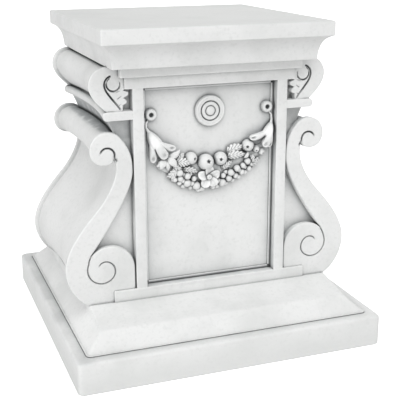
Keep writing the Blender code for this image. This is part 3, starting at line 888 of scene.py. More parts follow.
@dataclass
class BaseMoulding(SubAssembly):
    """Slab, 45 degree slope, shelf and base fillet."""

    slab_half: float = 0.1929
    slope_foot_half: float = 0.178
    slope_top_half: float = 0.1575
    shelf_inset: float = 0.0005
    fillet_half: float = 0.1262
    slab_edge: float = 0.0038
    foot_edge: float = 0.0014
    kerb_stand: float = 0.0009
    kerb_rise: float = 0.0013
    quirk_deep: float = 0.0004
    quirk_wide: float = 0.0007
    crest: float = 0.0030
    crest_run: float = 0.002
    corner_fade: float = 0.004
    lip: float = 0.0014
    slab_corner: float = 0.006
    slope_corner: float = 0.0028
    fillet_edge: float = 0.0011

    def under_crest(self) -> Point2:
        """Give the last straight point of the slope as (half side, height)."""
        return (self.slope_top_half + self.crest_run, LEVELS.slope_top - self.crest_run)

    def stepped(self) -> list[Point2]:
        """Trace slab and slope up to the crest as (half side, height)."""
        slab = self.slab_half
        line = [(slab - self.foot_edge, 0.0), (slab, self.foot_edge)]
        line += arc((slab - self.slab_edge, LEVELS.slab_top - self.slab_edge), self.slab_edge,
                    0, 90, 7)
        kerb, foot = self.slope_foot_half + self.kerb_stand, LEVELS.slab_top
        line += [(kerb + self.quirk_wide, foot), (kerb, foot - self.quirk_deep),
                 (kerb, foot + 0.7 * self.kerb_rise),
                 (kerb - 0.3 * self.kerb_rise, foot + self.kerb_rise),
                 (self.slope_foot_half - self.kerb_rise, foot + self.kerb_rise),
                 self.under_crest()]
        return line

    def crested(self, inner: float, lip: float) -> np.ndarray:
        """Trace the last of the slope and what lies above it, rising in height."""
        slope = self.under_crest()
        crest = (self.slope_top_half, LEVELS.slope_top)
        if lip:
            corner = (self.slope_top_half - self.shelf_inset, LEVELS.shelf_top)
            line = rounded((slope, crest, corner, (corner[0] - 2 * lip, LEVELS.shelf_top + 1e-5)),
                           (0, 0.7 * self.crest, lip, 0))
        else:
            line = rounded((slope, crest, (inner, LEVELS.shelf_top)), (0, self.crest, 0), 7)
        return np.array(line)

    def build(self) -> None:
        """Build the base and its fillet, and dress them."""
        data = bmesh.new()
        rings = []
        for half, z in self.stepped():
            over = min(max((z - LEVELS.slab_top) / self.corner_fade, 0), 1)
            corner = self.slab_corner + (self.slope_corner - self.slab_corner) * over
            rings.append(plan_ring(half, half, z, corner))
        front = self.crested(LEVELS.front + self.shelf_inset, 0)
        side = self.crested(0, self.lip)
        for z in sorted({round(v, 6) for v in (*front[1:, 1], *side[1:, 1])}):
            rings.append(plan_ring(float(np.interp(z, side[:, 1], side[:, 0])),
                                   float(np.interp(z, front[:, 1], front[:, 0])), z,
                                   0.75 * self.slope_corner))
        skin(data, rings)
        self.dress(to_object("base_moulding", data))
        data = bmesh.new()
        soft_block(data, (-self.fillet_half, -LEVELS.front, LEVELS.shelf_top - LEVELS.embed),
                   (self.fillet_half, LEVELS.front, LEVELS.die_foot), self.fillet_edge)
        self.dress(to_object("base_fillet", data))


@dataclass
class Die(SubAssembly):
    """The block with its stiles, its sunk panels and the small bead inside each frame."""

    stile_edge: float = 0.0009
    bead_width: float = 0.0032
    bead_corner: float = 0.0012
    bead_nose: float = 0.0016
    bead_cove: float = 0.0009
    bead_sunk: float = 0.001

    def build(self) -> None:
        """Build block, stiles and beads, and dress them."""
        data = bmesh.new()
        soft_block(data, (-LEVELS.stile_out + 0.0005, -LEVELS.panel, LEVELS.shelf_top - 0.001),
                   (LEVELS.stile_out - 0.0005, LEVELS.panel, LEVELS.lower_fillet_top + 0.001),
                   0.0004, False, False)
        self.dress(to_object("die_block", data))
        for face in Face:
            for side in Side:
                self.stile(side, face)
            self.panel_bead(face)

    def stile(self, side: Side, face: Face) -> None:
        """Build one upright stile."""
        xs = sorted((side.value * LEVELS.stile_in, side.value * LEVELS.stile_out))
        ys = sorted((face.value * (LEVELS.front - 0.0004),
                     face.value * (LEVELS.panel - LEVELS.embed)))
        data = bmesh.new()
        soft_block(data, (xs[0], ys[0], LEVELS.die_foot - LEVELS.embed),
                   (xs[1], ys[1], LEVELS.die_top + LEVELS.embed), self.stile_edge, False, False)
        self.dress(to_object(f"stile_{side.name.lower()}_{face.name.lower()}", data))

    def bead_recipe(self) -> Recipe:
        """Write the tree that sweeps a small profile round a rectangle."""
        recipe = Recipe("bead_round_panel")
        for name in ("Panel Width", "Panel Height", "Corner Radius"):
            recipe.add_input(name, "NodeSocketFloat")
        path = recipe.node("GeometryNodeCurvePrimitiveQuadrilateral")
        recipe.feed("Panel Width", path.inputs["Width"])
        recipe.feed("Panel Height", path.inputs["Height"])
        turn = recipe.node("GeometryNodeFilletCurve", mode="POLY")
        turn.inputs["Count"].default_value = 6
        turn.inputs["Limit Radius"].default_value = True
        recipe.link(path.outputs["Curve"], turn.inputs["Curve"])
        recipe.feed("Corner Radius", turn.inputs["Radius"])
        section = recipe.node("GeometryNodeMeshToCurve")
        recipe.feed("Geometry", section.inputs["Mesh"])
        sweep = recipe.node("GeometryNodeCurveToMesh")
        sweep.inputs["Fill Caps"].default_value = False
        recipe.link(turn.outputs["Curve"], sweep.inputs["Curve"])
        recipe.link(section.outputs["Curve"], sweep.inputs["Profile Curve"])
        smooth = recipe.node("GeometryNodeSetShadeSmooth")
        recipe.link(sweep.outputs["Mesh"], smooth.inputs["Geometry"])
        recipe.close(smooth.outputs["Geometry"])
        return recipe

    def panel_bead(self, face: Face) -> None:
        """Sweep the bead inside one panel's frame.

        Args:
            face: The face of the die that the panel belongs to.
        """
        nose, cove, sunk = self.bead_nose, self.bead_cove, self.bead_sunk
        half = self.bead_width / 2 + sunk
        rise = LEVELS.bead - LEVELS.panel
        line = chain([(-half, -sunk), (-half, rise)],
                     arc((half - nose, rise - nose), nose, 90, 0, 5), [(half, 0.0006)],
                     arc((half + cove, cove), cove, 180, 268, 4), [(half + 0.0011, -sunk)])
        mesh = bpy.data.meshes.new("bead_section")
        mesh.from_pydata([(-x, y, 0.0) for x, y in line], [(i, (i + 1) % len(line))
                                                          for i in range(len(line))], [])
        obj = linked(f"panel_bead_{face.name.lower()}", mesh)
        inner = self.bead_width - half
        self.bead_recipe().bake(
            obj, self.stone,
            Panel_Width=2 * (LEVELS.stile_in - inner),
            Panel_Height=LEVELS.die_top - LEVELS.die_foot - 2 * inner,
            Corner_Radius=self.bead_corner)
        for vertex in obj.data.vertices:
            x, z, rise = vertex.co
            vertex.co = (x, face.value * (LEVELS.panel + rise),
                         z + (LEVELS.die_foot + LEVELS.die_top) / 2)
        mend(obj)
        self.dress(obj)


@dataclass
class Crown(SubAssembly):
    """Lower fillet, upper fillet, cavetto with its undercut lip, and the abacus."""

    lower_half: float = 0.107
    upper_half: float = 0.1135
    cove_foot_half: float = 0.1261
    abacus_half: float = 0.1413
    fillet_edge: float = 0.0009
    cove_lip: float = 0.0009
    cove_foot: float = 0.0007
    abacus_foot: float = 0.0012
    abacus_edge: float = 0.0019
    corner: float = 0.0018

    def profile(self) -> list[Point2]:
        """Trace the crown from the foot of its upper fillet to the middle of its top."""
        foot, top = LEVELS.lower_fillet_top, LEVELS.upper_fillet_top
        edge, cove = self.abacus_half, self.cove_foot_half
        rise = LEVELS.cavetto_top - top
        hollow = bezier((cove, top), (cove + 0.1 * (edge - cove), top + 0.6 * rise),
                        (edge - 0.7 * (edge - cove), LEVELS.cavetto_top - 0.1 * rise),
                        (edge, LEVELS.cavetto_top), 18)
        lip = rounded(((self.upper_half, foot), (self.upper_half, top), (cove, top), hollow[3]),
                      (0, self.cove_foot, self.cove_lip, 0), 4)
        start = rounded(((self.upper_half - 0.003, foot), (self.upper_half, foot),
                         (self.upper_half, foot + 0.004)), (0, self.fillet_edge, 0), 4)
        crest = rounded((hollow[-2], hollow[-1], (edge, LEVELS.top),
                         (edge - 0.012, LEVELS.top)),
                        (0, self.abacus_foot, self.abacus_edge, 0), 6)
        return chain(start[:-1], lip[1:-1], hollow[3:-2], crest)

    def build(self) -> None:
        """Build the fillet and the moulded block, and dress them."""
        data = bmesh.new()
        soft_block(data, (-self.lower_half, -LEVELS.front, LEVELS.die_top),
                   (self.lower_half, LEVELS.front, LEVELS.lower_fillet_top + LEVELS.embed),
                   self.fillet_edge, False)
        self.dress(to_object("lower_fillet", data))
        data = bmesh.new()
        skin(data, [plan_ring(half, half, z, self.corner) for half, z in self.profile()])
        self.dress(to_object("crown_moulding", data))


# Flanks


@dataclass(frozen=True)
class Groove:
    """An incised line on an end face."""

    path: tuple[Point2, ...]
    half_width: float = 0.00125
    depth: float = 0.0019
    taper_start: float = 0.0
    taper_end: float = 0.004

    def depth_at(self, points: np.ndarray) -> np.ndarray:
        """Tell how deep the line cuts at each point of the face."""
        line = np.array(self.path)
        gap, along = nearest(points, line, False)
        total = float(np.sum(np.hypot(*(line[1:] - line[:-1]).T)))
        share = 0.5 + 0.5 * np.cos(np.pi * np.clip(gap / self.half_width, 0, 1))
        for reach, run in ((self.taper_start, along), (self.taper_end, total - along)):
            if reach > 0:
                share = share * (0.25 + 0.75 * np.clip(run / reach, 0, 1))
        return self.depth * share


@dataclass
class DepthLoft:
    """A form that runs through the whole depth with a drawn-in waist and two end faces."""

    outline: list[Point2]
    face: float
    edge: float = 0.0012
    rim_width: float = 0.007
    rim_height: float = 0.003
    rim_soft: float = 0.0012
    rim_quirk: float = 0.0017
    quirk_runs: tuple[float, float, float] = (0.0007, 0.0018, 0.0030)
    waist: float = 0.0085
    grooves: tuple[Groove, ...] = ()
    fine: float = 0.00055
    coarse: float = 0.0033

    def stations(self) -> list[tuple[float, float]]:
        """List (depth, inset) from the front end to the back end."""
        half = []
        for k in range(6):
            angle = math.radians(90 * k / 5)
            half.append((self.face - self.edge + self.edge * math.cos(angle),
                         self.edge - self.edge * math.sin(angle)))
        if self.rim_height > 0:
            rim_in = self.face - self.rim_width
            half.append((rim_in + self.rim_soft, 0.0))
            for k in range(1, 8):
                t = k / 7
                half.append((rim_in + self.rim_soft * (1 - t),
                             self.rim_height * (0.5 - 0.5 * math.cos(math.pi * t))))
            deepest, rising, ended = self.quirk_runs
            last = rim_in - ended
            half += [(rim_in - deepest, self.rim_height + self.rim_quirk),
                     (rim_in - rising, self.rim_height + 0.2 * self.rim_quirk),
                     (last, self.rim_height)]
        else:
            last = self.face - self.edge
        for k in range(1, 9):
            half.append((last * (1 - k / 8), self.rim_height))
        return ([(-y, inset) for y, inset in half]
                + [(y, inset) for y, inset in reversed(half[:-1])])

    def drawn(self, y: float) -> float:
        """Tell how far the waist draws the form in at a depth."""
        return self.waist * (1 - (y / LEVELS.front) ** 2)

    def face_points(self, ring: list[Point2]) -> list[Point2]:
        """Scatter points over the end face, close together near the incised lines.

        Args:
            ring: Outline of the end face.

        Returns:
            The points inside the outline.
        """
        outline = np.array(ring)
        low, high = outline.min(axis=0), outline.max(axis=0)
        xs = np.arange(low[0], high[0], self.fine)
        zs = np.arange(low[1], high[1], self.fine)
        grid_x, grid_z = np.meshgrid(np.arange(len(xs)), np.arange(len(zs)))
        every = max(2, round(self.coarse / self.fine))
        rows = grid_z // every % 2 * (every // 2)
        sparse = ((grid_x + rows) % every == 0) & (grid_z % every == 0)
        points = np.stack((xs[grid_x] + (grid_z % 2) * self.fine / 2, zs[grid_z]), axis=-1)
        points, sparse = points.reshape(-1, 2), sparse.ravel()
        near = np.zeros(len(points), bool)
        for groove in self.grooves:
            gap, _ = nearest(points, np.array(groove.path), False)
            near |= gap < 1.5 * groove.half_width
        points = points[near | sparse]
        margin, _ = nearest(points, outline, True)
        return [tuple(p) for p in points[margin > 0.45 * self.fine]]

    def build(self, name: str, side: Side) -> bpy.types.Object:
        """Build the form on one side.

        Args:
            name: Name of the object.
            side: The flank it belongs to.

        Returns:
            The new object, not dressed yet.
        """
        data = bmesh.new()
        stations = self.stations()
        outlines = {inset: drawn_in(self.outline, inset) for _, inset in stations}
        loops = [[(side.value * (x - self.drawn(y)), y, z) for x, z in outlines[inset]]
                 for y, inset in stations]
        skin(data, loops, caps=False)
        ring = outlines[stations[0][1]]
        for end in (-1, 1):
            self.end_face(data, ring, side, end)
        bmesh.ops.remove_doubles(data, verts=data.verts, dist=4e-6)
        self.carve(data, side)
        return to_object(name, data, crease=38.0)

    def end_face(self, data: BMesh, ring: list[Point2], side: Side, end: int) -> None:
        """Fill one end face with triangles that keep to its outline."""
        points = chain(ring)
        count = len(points)
        edges = [(i, (i + 1) % count) for i in range(count)]
        inner = self.face_points(points)
        verts, _, faces, _, _, _ = geometry.delaunay_2d_cdt(
            [Vector(p) for p in points + inner], edges, [], 1, 1e-7)
        y = end * self.face
        made = [data.verts.new((side.value * (p.x - self.drawn(y)), y, p.y)) for p in verts]
        for corners in faces:
            data.faces.new([made[i] for i in corners])

    def carve(self, data: BMesh, side: Side) -> None:
        """Press the incised lines into both end faces and their rounded edges."""
        for end in (-1, 1):
            near = [v for v in data.verts if end * v.co.y > self.face - 2 * self.edge]
            flat = np.array([(side.value * v.co.x + self.drawn(v.co.y), v.co.z) for v in near])
            if not len(flat):
                continue
            cut = np.zeros(len(near))
            for groove in self.grooves:
                cut = np.maximum(cut, groove.depth_at(flat))
            for vertex, depth in zip(near, cut):
                vertex.co.y -= end * float(depth)


@dataclass
class Flank(SubAssembly):
    """One side: S-scroll console, sunk infill, impost band and capital scroll."""

    side: Side = Side.LEFT
    console_in: float = 0.0992
    console_reach: float = 0.0851
    console_height: float = 0.2095
    upper_volute_radius: float = 0.021
    upper_volute_out: float = 0.0301
    lower_volute_radius: float = 0.0313
    lower_volute_rise: float = 0.040
    ribbon_turn: float = 50.0
    ribbon_lean: Point2 = (0.029, 0.040)
    band_half: float = 0.133
    band_nose: float = 0.0046
    scroll_radius: float = 0.0207
    scroll_out: float = 0.0304
    scroll_foot: float = 0.017
    fillet_half: float = 0.107
    eye_radius: float = 0.009
    groove_half: float = 0.0012

    def console_point(self, across: float, up: float) -> Point2:
        """Give a point of the console from its shares of reach and height."""
        return (self.console_in + across * self.console_reach,
                LEVELS.shelf_top + up * self.console_height)

    def upper_volute(self) -> Point2:
        """Give the centre of the console's upper volute."""
        top = LEVELS.shelf_top + self.console_height
        return (self.console_in + self.upper_volute_out, top - self.upper_volute_radius)

    def lower_volute(self) -> Point2:
        """Give the centre of the console's lower volute."""
        return (self.console_in + self.lower_volute_radius,
                LEVELS.shelf_top + self.lower_volute_rise)

    def meeting(self) -> Point2:
        """Give the point where the ribbon's inner edge meets the lower volute."""
        return arc(self.lower_volute(), self.lower_volute_radius, self.ribbon_turn,
                   self.ribbon_turn, 1)[0]

    def console_outline(self) -> list[Point2]:
        """Trace the S-scroll seen from the front, sunk a little into the shelf."""
        point = self.console_point
        upper, lower, radius = self.upper_volute(), self.lower_volute(), self.upper_volute_radius
        shoulder = arc(upper, radius, 145, 145, 1)[0]
        notch = arc(upper, 0.75 * radius, -122, -122, 1)[0]
        sunk = -LEVELS.embed / self.console_height
        meet = self.meeting()
        lean = (meet[0] - self.ribbon_lean[0], meet[1] + self.ribbon_lean[1])
        return chain(
            [point(0, sunk)],
            arc(lower, self.lower_volute_radius, 180, self.ribbon_turn, 30),
            bezier(meet, lean, point(0, 0.670), point(0, 0.773), 26),
            bezier(point(0, 0.792), point(0, 0.8735),
                   (shoulder[0] - radius * 0.25, shoulder[1] - radius * 0.36), shoulder, 14),
            arc(upper, radius, 145, -40, 36),
            arc(upper, radius, -40, -122, 16, end_radius=0.75 * radius),
            bezier(notch, point(0.174, 0.764), point(0.357, 0.635), point(0.497, 0.570), 20),
            bezier(point(0.497, 0.570), point(0.699, 0.477), point(1.0, 0.348),
                   point(1.0, 0.2196), 22),
            bezier(point(1.0, 0.2196), point(1.0, 0.124), point(0.867, 0.038),
                   point(0.7086, 0), 18),
            [point(0.690, sunk)])

    def lower_spiral(self) -> Groove:
        """Carry the ribbon's inner edge on as a spiral inside the lower volute."""
        centre, radius, meet = self.lower_volute(), self.lower_volute_radius, self.meeting()
        eye = (centre[0] + 0.25 * radius, centre[1] + 0.08 * radius)
        start = arc(eye, 0.64 * radius, 25, 25, 1)[0]
        lead = bezier((meet[0] - 0.0012, meet[1] + 0.0018), (meet[0] + 0.0020, meet[1] - 0.0035),
                      (start[0] - 0.0010, start[1] + 0.0040), start, 10)
        path = chain(lead, arc(eye, 0.64 * radius, 25, -150, 36, end_radius=0.50 * radius),
                     arc(eye, 0.50 * radius, -150, -325, 36, end_radius=0.22 * radius))
        return Groove(tuple(path), 1.1 * self.groove_half, 0.0021)

    def upper_hook(self) -> Groove:
        """Trace the curl inside the upper volute, from the notch over the top and down."""
        centre, radius = self.upper_volute(), self.upper_volute_radius
        notch = arc(centre, 0.78 * radius, -126, -126, 1)[0]
        eye = (centre[0], centre[1] - 0.30 * radius)
        path = chain([notch], arc(eye, 0.42 * radius, 190, 12, 30))
        return Groove(tuple(path), 1.35 * self.groove_half, 0.0038, 0.0, 0.006)

    def hook_mouth(self) -> Groove:
        """Trace the broad start of the curl at the notch."""
        start, second = self.upper_hook().path[:2]
        inner = tuple(a + 0.75 * (b - a) for a, b in zip(start, second))
        return Groove((start, inner), 3.3 * self.groove_half, 0.0058, 0.0, 0.004)

    def console(self) -> None:
        """Build the console and dress it."""
        loft = DepthLoft(self.console_outline(), LEVELS.side_face, 0.0018,
                         grooves=(self.lower_spiral(), self.upper_hook(), self.hook_mouth()))
        self.dress(loft.build(f"console_{self.side.name.lower()}", self.side))

    def infill(self) -> None:
        """Build the sunk wall behind console, band and capital scroll."""
        inner = LEVELS.stile_out - 0.0125
        upper, radius, centre = self.upper_volute(), self.upper_volute_radius, self.scroll_centre()
        top = LEVELS.shelf_top + self.console_height
        seat, head = LEVELS.band_top - LEVELS.embed, LEVELS.upper_fillet_top - LEVELS.embed
        out = self.band_half - 0.0052
        lower = [(inner, LEVELS.shelf_top - LEVELS.embed), self.console_point(0.36, 0.02),
                 self.console_point(0.66, 0.25), self.console_point(0.68, 0.36),
                 self.console_point(0.32, 0.55), self.console_point(0.08, 0.69),
                 self.console_point(0.04, 0.81), (upper[0] - 0.6 * radius, upper[1]),
                 (upper[0] - 0.4 * radius, top - LEVELS.embed), (out, LEVELS.band_foot),
                 (out, seat), (inner, seat)]
        capital = [(inner, seat), (LEVELS.stile_out + self.scroll_foot, seat),
                   (centre[0] + 0.3 * self.scroll_radius, centre[1] - 0.6 * self.scroll_radius),
                   (centre[0] + 0.3 * self.scroll_radius, centre[1] + 0.5 * self.scroll_radius),
                   (centre[0] - 0.3 * self.scroll_radius, head), (inner, head)]
        word = self.side.name.lower()
        for name, outline, shy in (("infill", lower, 0.0), ("capital_infill", capital, 0.0005)):
            loft = DepthLoft(outline, LEVELS.infill - shy, 0.0, rim_height=0.0, fine=0.003,
                             coarse=0.012)
            self.dress(loft.build(f"{name}_{word}", self.side))

    def band(self) -> None:
        """Build the impost band, round-nosed and hollow along the side."""
        inner = LEVELS.stile_out - 0.001
        nose = self.band_nose
        outline = rounded(((inner, LEVELS.band_foot), (self.band_half, LEVELS.band_foot),
                           (self.band_half, LEVELS.band_top), (inner, LEVELS.band_top)),
                          (0, nose, nose, 0), 9)
        outline[1:1] = [(self.band_half - 0.012, LEVELS.band_foot)]
        loft = DepthLoft(outline, LEVELS.front - 0.0008, 0.0007, rim_height=0.0, fine=0.003,
                         coarse=0.012)
        self.dress(loft.build(f"impost_band_{self.side.name.lower()}", self.side))

    def scroll_centre(self) -> Point2:
        """Give the centre of the capital scroll, let into the cavetto's underside."""
        return (LEVELS.stile_out + self.scroll_out,
                LEVELS.upper_fillet_top + 0.0005 - self.scroll_radius)

    def scroll_eye(self) -> Point2:
        """Give the centre of the capital scroll's eye."""
        centre = self.scroll_centre()
        return (centre[0] - 0.4 * self.scroll_radius, centre[1] + 0.04 * self.scroll_radius)

    def scroll_outline(self) -> list[Point2]:
        """Trace the capital scroll with the lobed leaf on its inner side."""
        centre, eye, radius = self.scroll_centre(), self.scroll_eye(), self.scroll_radius
        foot = LEVELS.stile_out + 0.7 * self.scroll_foot
        rise = eye[1] - self.eye_radius - LEVELS.band_top
        base = LEVELS.band_top
        valley = (foot - 0.0005, base + 0.30 * rise)
        tips = ((foot - 0.0050, base + 0.48 * rise), (foot - 0.0070, base + 0.91 * rise))
        rests = ((foot - 0.0012, base + 0.68 * rise), (foot - 0.0014, base + 1.07 * rise))
        beside = self.fillet_half - 0.0005
        lobes = chain([(foot, base - LEVELS.embed)],
                      rounded((valley, (tips[0][0], tips[0][1] - 0.0018),
                               (tips[0][0] - 0.0002, tips[0][1] + 0.0012), rests[0]),
                              (0, 0.0012, 0.0010, 0), 3),
                      rounded((rests[0], (tips[1][0], tips[1][1] - 0.0022),
                               (tips[1][0] - 0.0003, tips[1][1] + 0.0014), rests[1]),
                              (0, 0.0014, 0.0012, 0), 3))
        turn = arc(centre, radius, -24, -24, 1)[0]
        tail = (LEVELS.stile_out + 1.7 * self.scroll_foot, base - LEVELS.embed)
        return chain(lobes, [(beside, LEVELS.die_top + 0.0005),
                             (beside, LEVELS.upper_fillet_top + 0.0005)],
                     arc(centre, radius, 92, -24, 26),
                     bezier(turn, (turn[0] - 0.003, turn[1] - 0.0085),
                            (tail[0] + 0.0085, tail[1] + 0.0075), tail, 14))

    def scroll_grooves(self) -> tuple[Groove, ...]:
        """Trace the ribbon's inner edge, the ring round the eye and the leaf's veins."""
        eye, radius = self.scroll_eye(), self.eye_radius
        foot = (LEVELS.stile_out + 0.82 * self.scroll_foot, LEVELS.band_top + 0.001)
        turn = arc(eye, 1.16 * radius, -12, -12, 1)[0]
        down = bezier(turn, (turn[0] - 0.001, turn[1] - 0.008),
                      (foot[0] + 0.006, foot[1] + 0.010), foot, 20)
        ribbon = chain(arc(eye, 1.10 * radius, 70, -12, 14, end_radius=1.16 * radius), down)
        ring = arc(eye, 0.88 * radius, 58, -205, 44)
        shade = arc(eye, 0.88 * radius, 24, -172, 36)
        heart = LEVELS.stile_out + 0.86 * self.scroll_foot
        rise = eye[1] - radius - LEVELS.band_top
        veins = []
        for up, lean, run in ((0.26, 0.10, 0.0032), (0.62, 0.16, 0.0052), (0.98, 0.10, 0.0056)):
            start = (heart + 0.0012 + 0.0035 * up, LEVELS.band_top + up * rise)
            veins.append(Groove((start, (start[0] - run, start[1] + lean * rise)), 0.0009,
                                0.0015, 0.001, 0.002))
        return (Groove(tuple(ribbon), 1.25 * self.groove_half, 0.0038, 0.0, 0.002),
                Groove(tuple(ring), 0.75 * self.groove_half, 0.0017, 0.0, 0.003),
                Groove(tuple(shade), 1.15 * self.groove_half, 0.0034, 0.004, 0.004),
                Groove((eye, (eye[0] + 0.001, eye[1])), 0.8 * radius, 0.0011, 0.0, 0.0), *veins)

    def capital_scroll(self) -> None:
        """Build the capital scroll and dress it."""
        loft = DepthLoft(self.scroll_outline(), LEVELS.side_face, 0.0009,
                         grooves=self.scroll_grooves())
        self.dress(loft.build(f"capital_scroll_{self.side.name.lower()}", self.side))

    def build(self) -> None:
        """Build all forms of this flank."""
        self.infill()
        self.band()
        self.console()
        self.capital_scroll()


# Relief on the front panel


def on_panel(x: float, z: float, stand: float) -> Vector:
    """Give a point that stands a little in front of the front panel."""
    return Vector((x, -LEVELS.panel - stand, z))


@dataclass
class PanelMarks(SubAssembly):
    """The two rings that the festoon hangs from, and the round medallion."""

    ring_places: tuple[Point2, ...] = ((-0.0740, 0.2955), (0.0740, 0.2955))
    ring_radius: float = 0.0071
    ring_stand: float = 0.0070
    medallion_place: Point2 = (0.0, 0.2955)
    medallion_radius: float = 0.0188
    medallion_stand: float = 0.0062

    def ring(self, name: str, place: Point2) -> None:
        """Turn one ring with its hole."""
        r, h = self.ring_radius, self.ring_stand
        outer = bezier((r, 0.10 * h), (1.02 * r, 0.75 * h), (0.92 * r, h), (0.62 * r, h), 12)
        inner = bezier((0.62 * r, h), (0.42 * r, h), (0.32 * r, 0.85 * h), (0.30 * r, 0.35 * h), 9)
        data = bmesh.new()
        lathe(data, chain([(r, -LEVELS.embed)], outer, inner, [(0.02 * r, 0.25 * h)]),
              on_panel(*place, 0), (0, -1, 0), 44)
        self.dress(to_object(name, data, 50))

    def medallion(self) -> None:
        """Turn the medallion's rings."""
        r, h = self.medallion_radius, self.medallion_stand
        line = rounded(((r, -LEVELS.embed), (r, 0.45 * h), (0.955 * r, 0.90 * h),
                        (0.89 * r, 0.98 * h), (0.83 * r, 0.84 * h), (0.77 * r, 0.88 * h),
                        (0.655 * r, 0.76 * h), (0.62 * r, 0.40 * h), (0.585 * r, 0.78 * h),
                        (0.53 * r, 0.94 * h), (0.42 * r, 0.92 * h), (0.350 * r, 0.80 * h),
                        (0.325 * r, 0.56 * h), (0.300 * r, 0.80 * h), (0.22 * r, 1.02 * h),
                        (0.10 * r, 1.10 * h), (0.004 * r, 1.11 * h)),
                       (0, 0.0012, 0.0010, 0.0010, 0.0004, 0.0008, 0.0006, 0.0003, 0.0006,
                        0.0010, 0.0010, 0.0004, 0.0003, 0.0004, 0.0008, 0.0010, 0), 4)
        data = bmesh.new()
        lathe(data, line, on_panel(*self.medallion_place, 0), (0, -1, 0), 72)
        self.dress(to_object("medallion", data, 60))

    def build(self) -> None:
        """Build rings and medallion."""
        for side, place in zip(Side, self.ring_places):
            self.ring(f"ring_{side.name.lower()}", place)
        self.medallion()


@dataclass(frozen=True)
class Sheet:
    """A leaf, petal or lobe that follows a curved spine and has a front and a back."""

    spine: tuple[Point3, Point3, Point3, Point3]
    width: float
    form: LeafForm = LeafForm.OVATE
    thickness: float = 0.0022
    crown: float = 0.0016
    rib: float = 0.0007
    veins: int = 0
    teeth: int = 0
    dish: float = 0.0
    along: int = 40
    across: int = 22

    def swell(self, t: float) -> float:
        """Give the half width at a share of the length."""
        if self.form is LeafForm.FLUTE:
            grown = min(t / 0.72, 1.0)
            shape = (0.22 + 0.78 * grown * grown * (3 - 2 * grown))
            shape *= math.sqrt(max(0.0, 1 - max(0.0, (t - 0.80) / 0.20) ** 2.4))
        elif self.form is LeafForm.LANCE:
            shape = math.sin(math.pi * t ** 0.75) ** 0.9
        elif self.form is LeafForm.PETAL:
            shape = (math.sin(math.pi * (0.10 + 0.87 * t ** 1.15))) ** 0.55 * (0.45 + 0.55 * t)
        else:
            shape = math.sin(math.pi * t ** 0.85) ** 0.62 * (1.08 - 0.35 * t)
        return max(shape, 0.02) * self.width / 2

    def directions(self, points: Sequence[Vector], i: int) -> tuple[Vector, Vector]:
        """Give the directions across and out of the sheet at a point of its spine."""
        run = (points[min(i + 1, self.along)] - points[max(i - 1, 0)]).normalized()
        side = run.cross(Vector((0, 1, 0)))
        side = side.normalized() if side.length > 1e-4 else Vector((1, 0, 0))
        out = run.cross(side).normalized()
        if out.y > 0:
            out.negate()
        return side, out

    def rise(self, t: float, v: float) -> float:
        """Give the front's height over the spine at shares of the length and half width."""
        rise = self.crown * (1 - abs(v) ** 2.2) * min(1.0, 5 * t, 5 * (1 - t) + 0.25)
        rise += self.rib * math.exp(-(v / 0.12) ** 2) * (1 - 0.5 * t)
        if self.veins:
            cut = 1 - abs(math.sin(math.pi * self.veins * (t - 0.30 * abs(v))))
            rise -= 0.75 * self.crown * cut ** 2.2 * min(1.0, 5 * abs(v))
        return rise - self.dish * math.exp(-((t - 0.85) / 0.10) ** 2 - (v / 0.46) ** 2)

    def add(self, data: BMesh) -> None:
        """Add the sheet to mesh data.

        Args:
            data: Mesh data to add to.
        """
        points = [Vector(p) for p in bezier(*self.spine, self.along)]
        loops = []
        for i, point in enumerate(points):
            t = i / self.along
            side, out = self.directions(points, i)
            saw = (t * self.teeth) % 1.0 - 0.5 if self.teeth else 0.0
            front, back = [], []
            for j in range(self.across + 1):
                v = 2 * j / self.across - 1
                reach = self.swell(t) * v * (1 + 0.34 * saw * abs(v) ** 3)
                rise = self.rise(t, v)
                front.append(tuple(point + side * reach + out * rise))
                back.append(tuple(point + side * reach * 0.9 + out * (rise - self.thickness)))
            loops.append(front + back[::-1])
        skin(data, loops)


@dataclass(frozen=True)
class Fruit:
    """A round fruit with a dimple and a small five-pointed calyx."""

    place: Point2
    radius: float
    look: Point3 = (0.1, -1.0, 0.1)
    lift: float = 0.45

    def add(self, data: BMesh) -> None:
        """Add the fruit to mesh data."""
        r = self.radius
        line = []
        for k in range(17):
            angle = math.radians(-62 + 142 * k / 16)
            line.append((r * math.cos(angle), r * math.sin(angle)))
        line = line[:-1] + [(0.245 * r, 0.955 * r), (0.20 * r, 0.90 * r), (0.15 * r, 0.74 * r),
                            (0.10 * r, 0.66 * r), (0.008 * r, 0.64 * r)]

        def calyx(share: float, angle: float) -> float:
            near = max(0.0, 1 - abs(share - 0.84) / 0.12)
            return 1 + 0.55 * near * max(0.0, math.cos(5 * angle)) - 0.10 * near

        lathe(data, line, on_panel(*self.place, self.lift * r), self.look, 30, calyx)


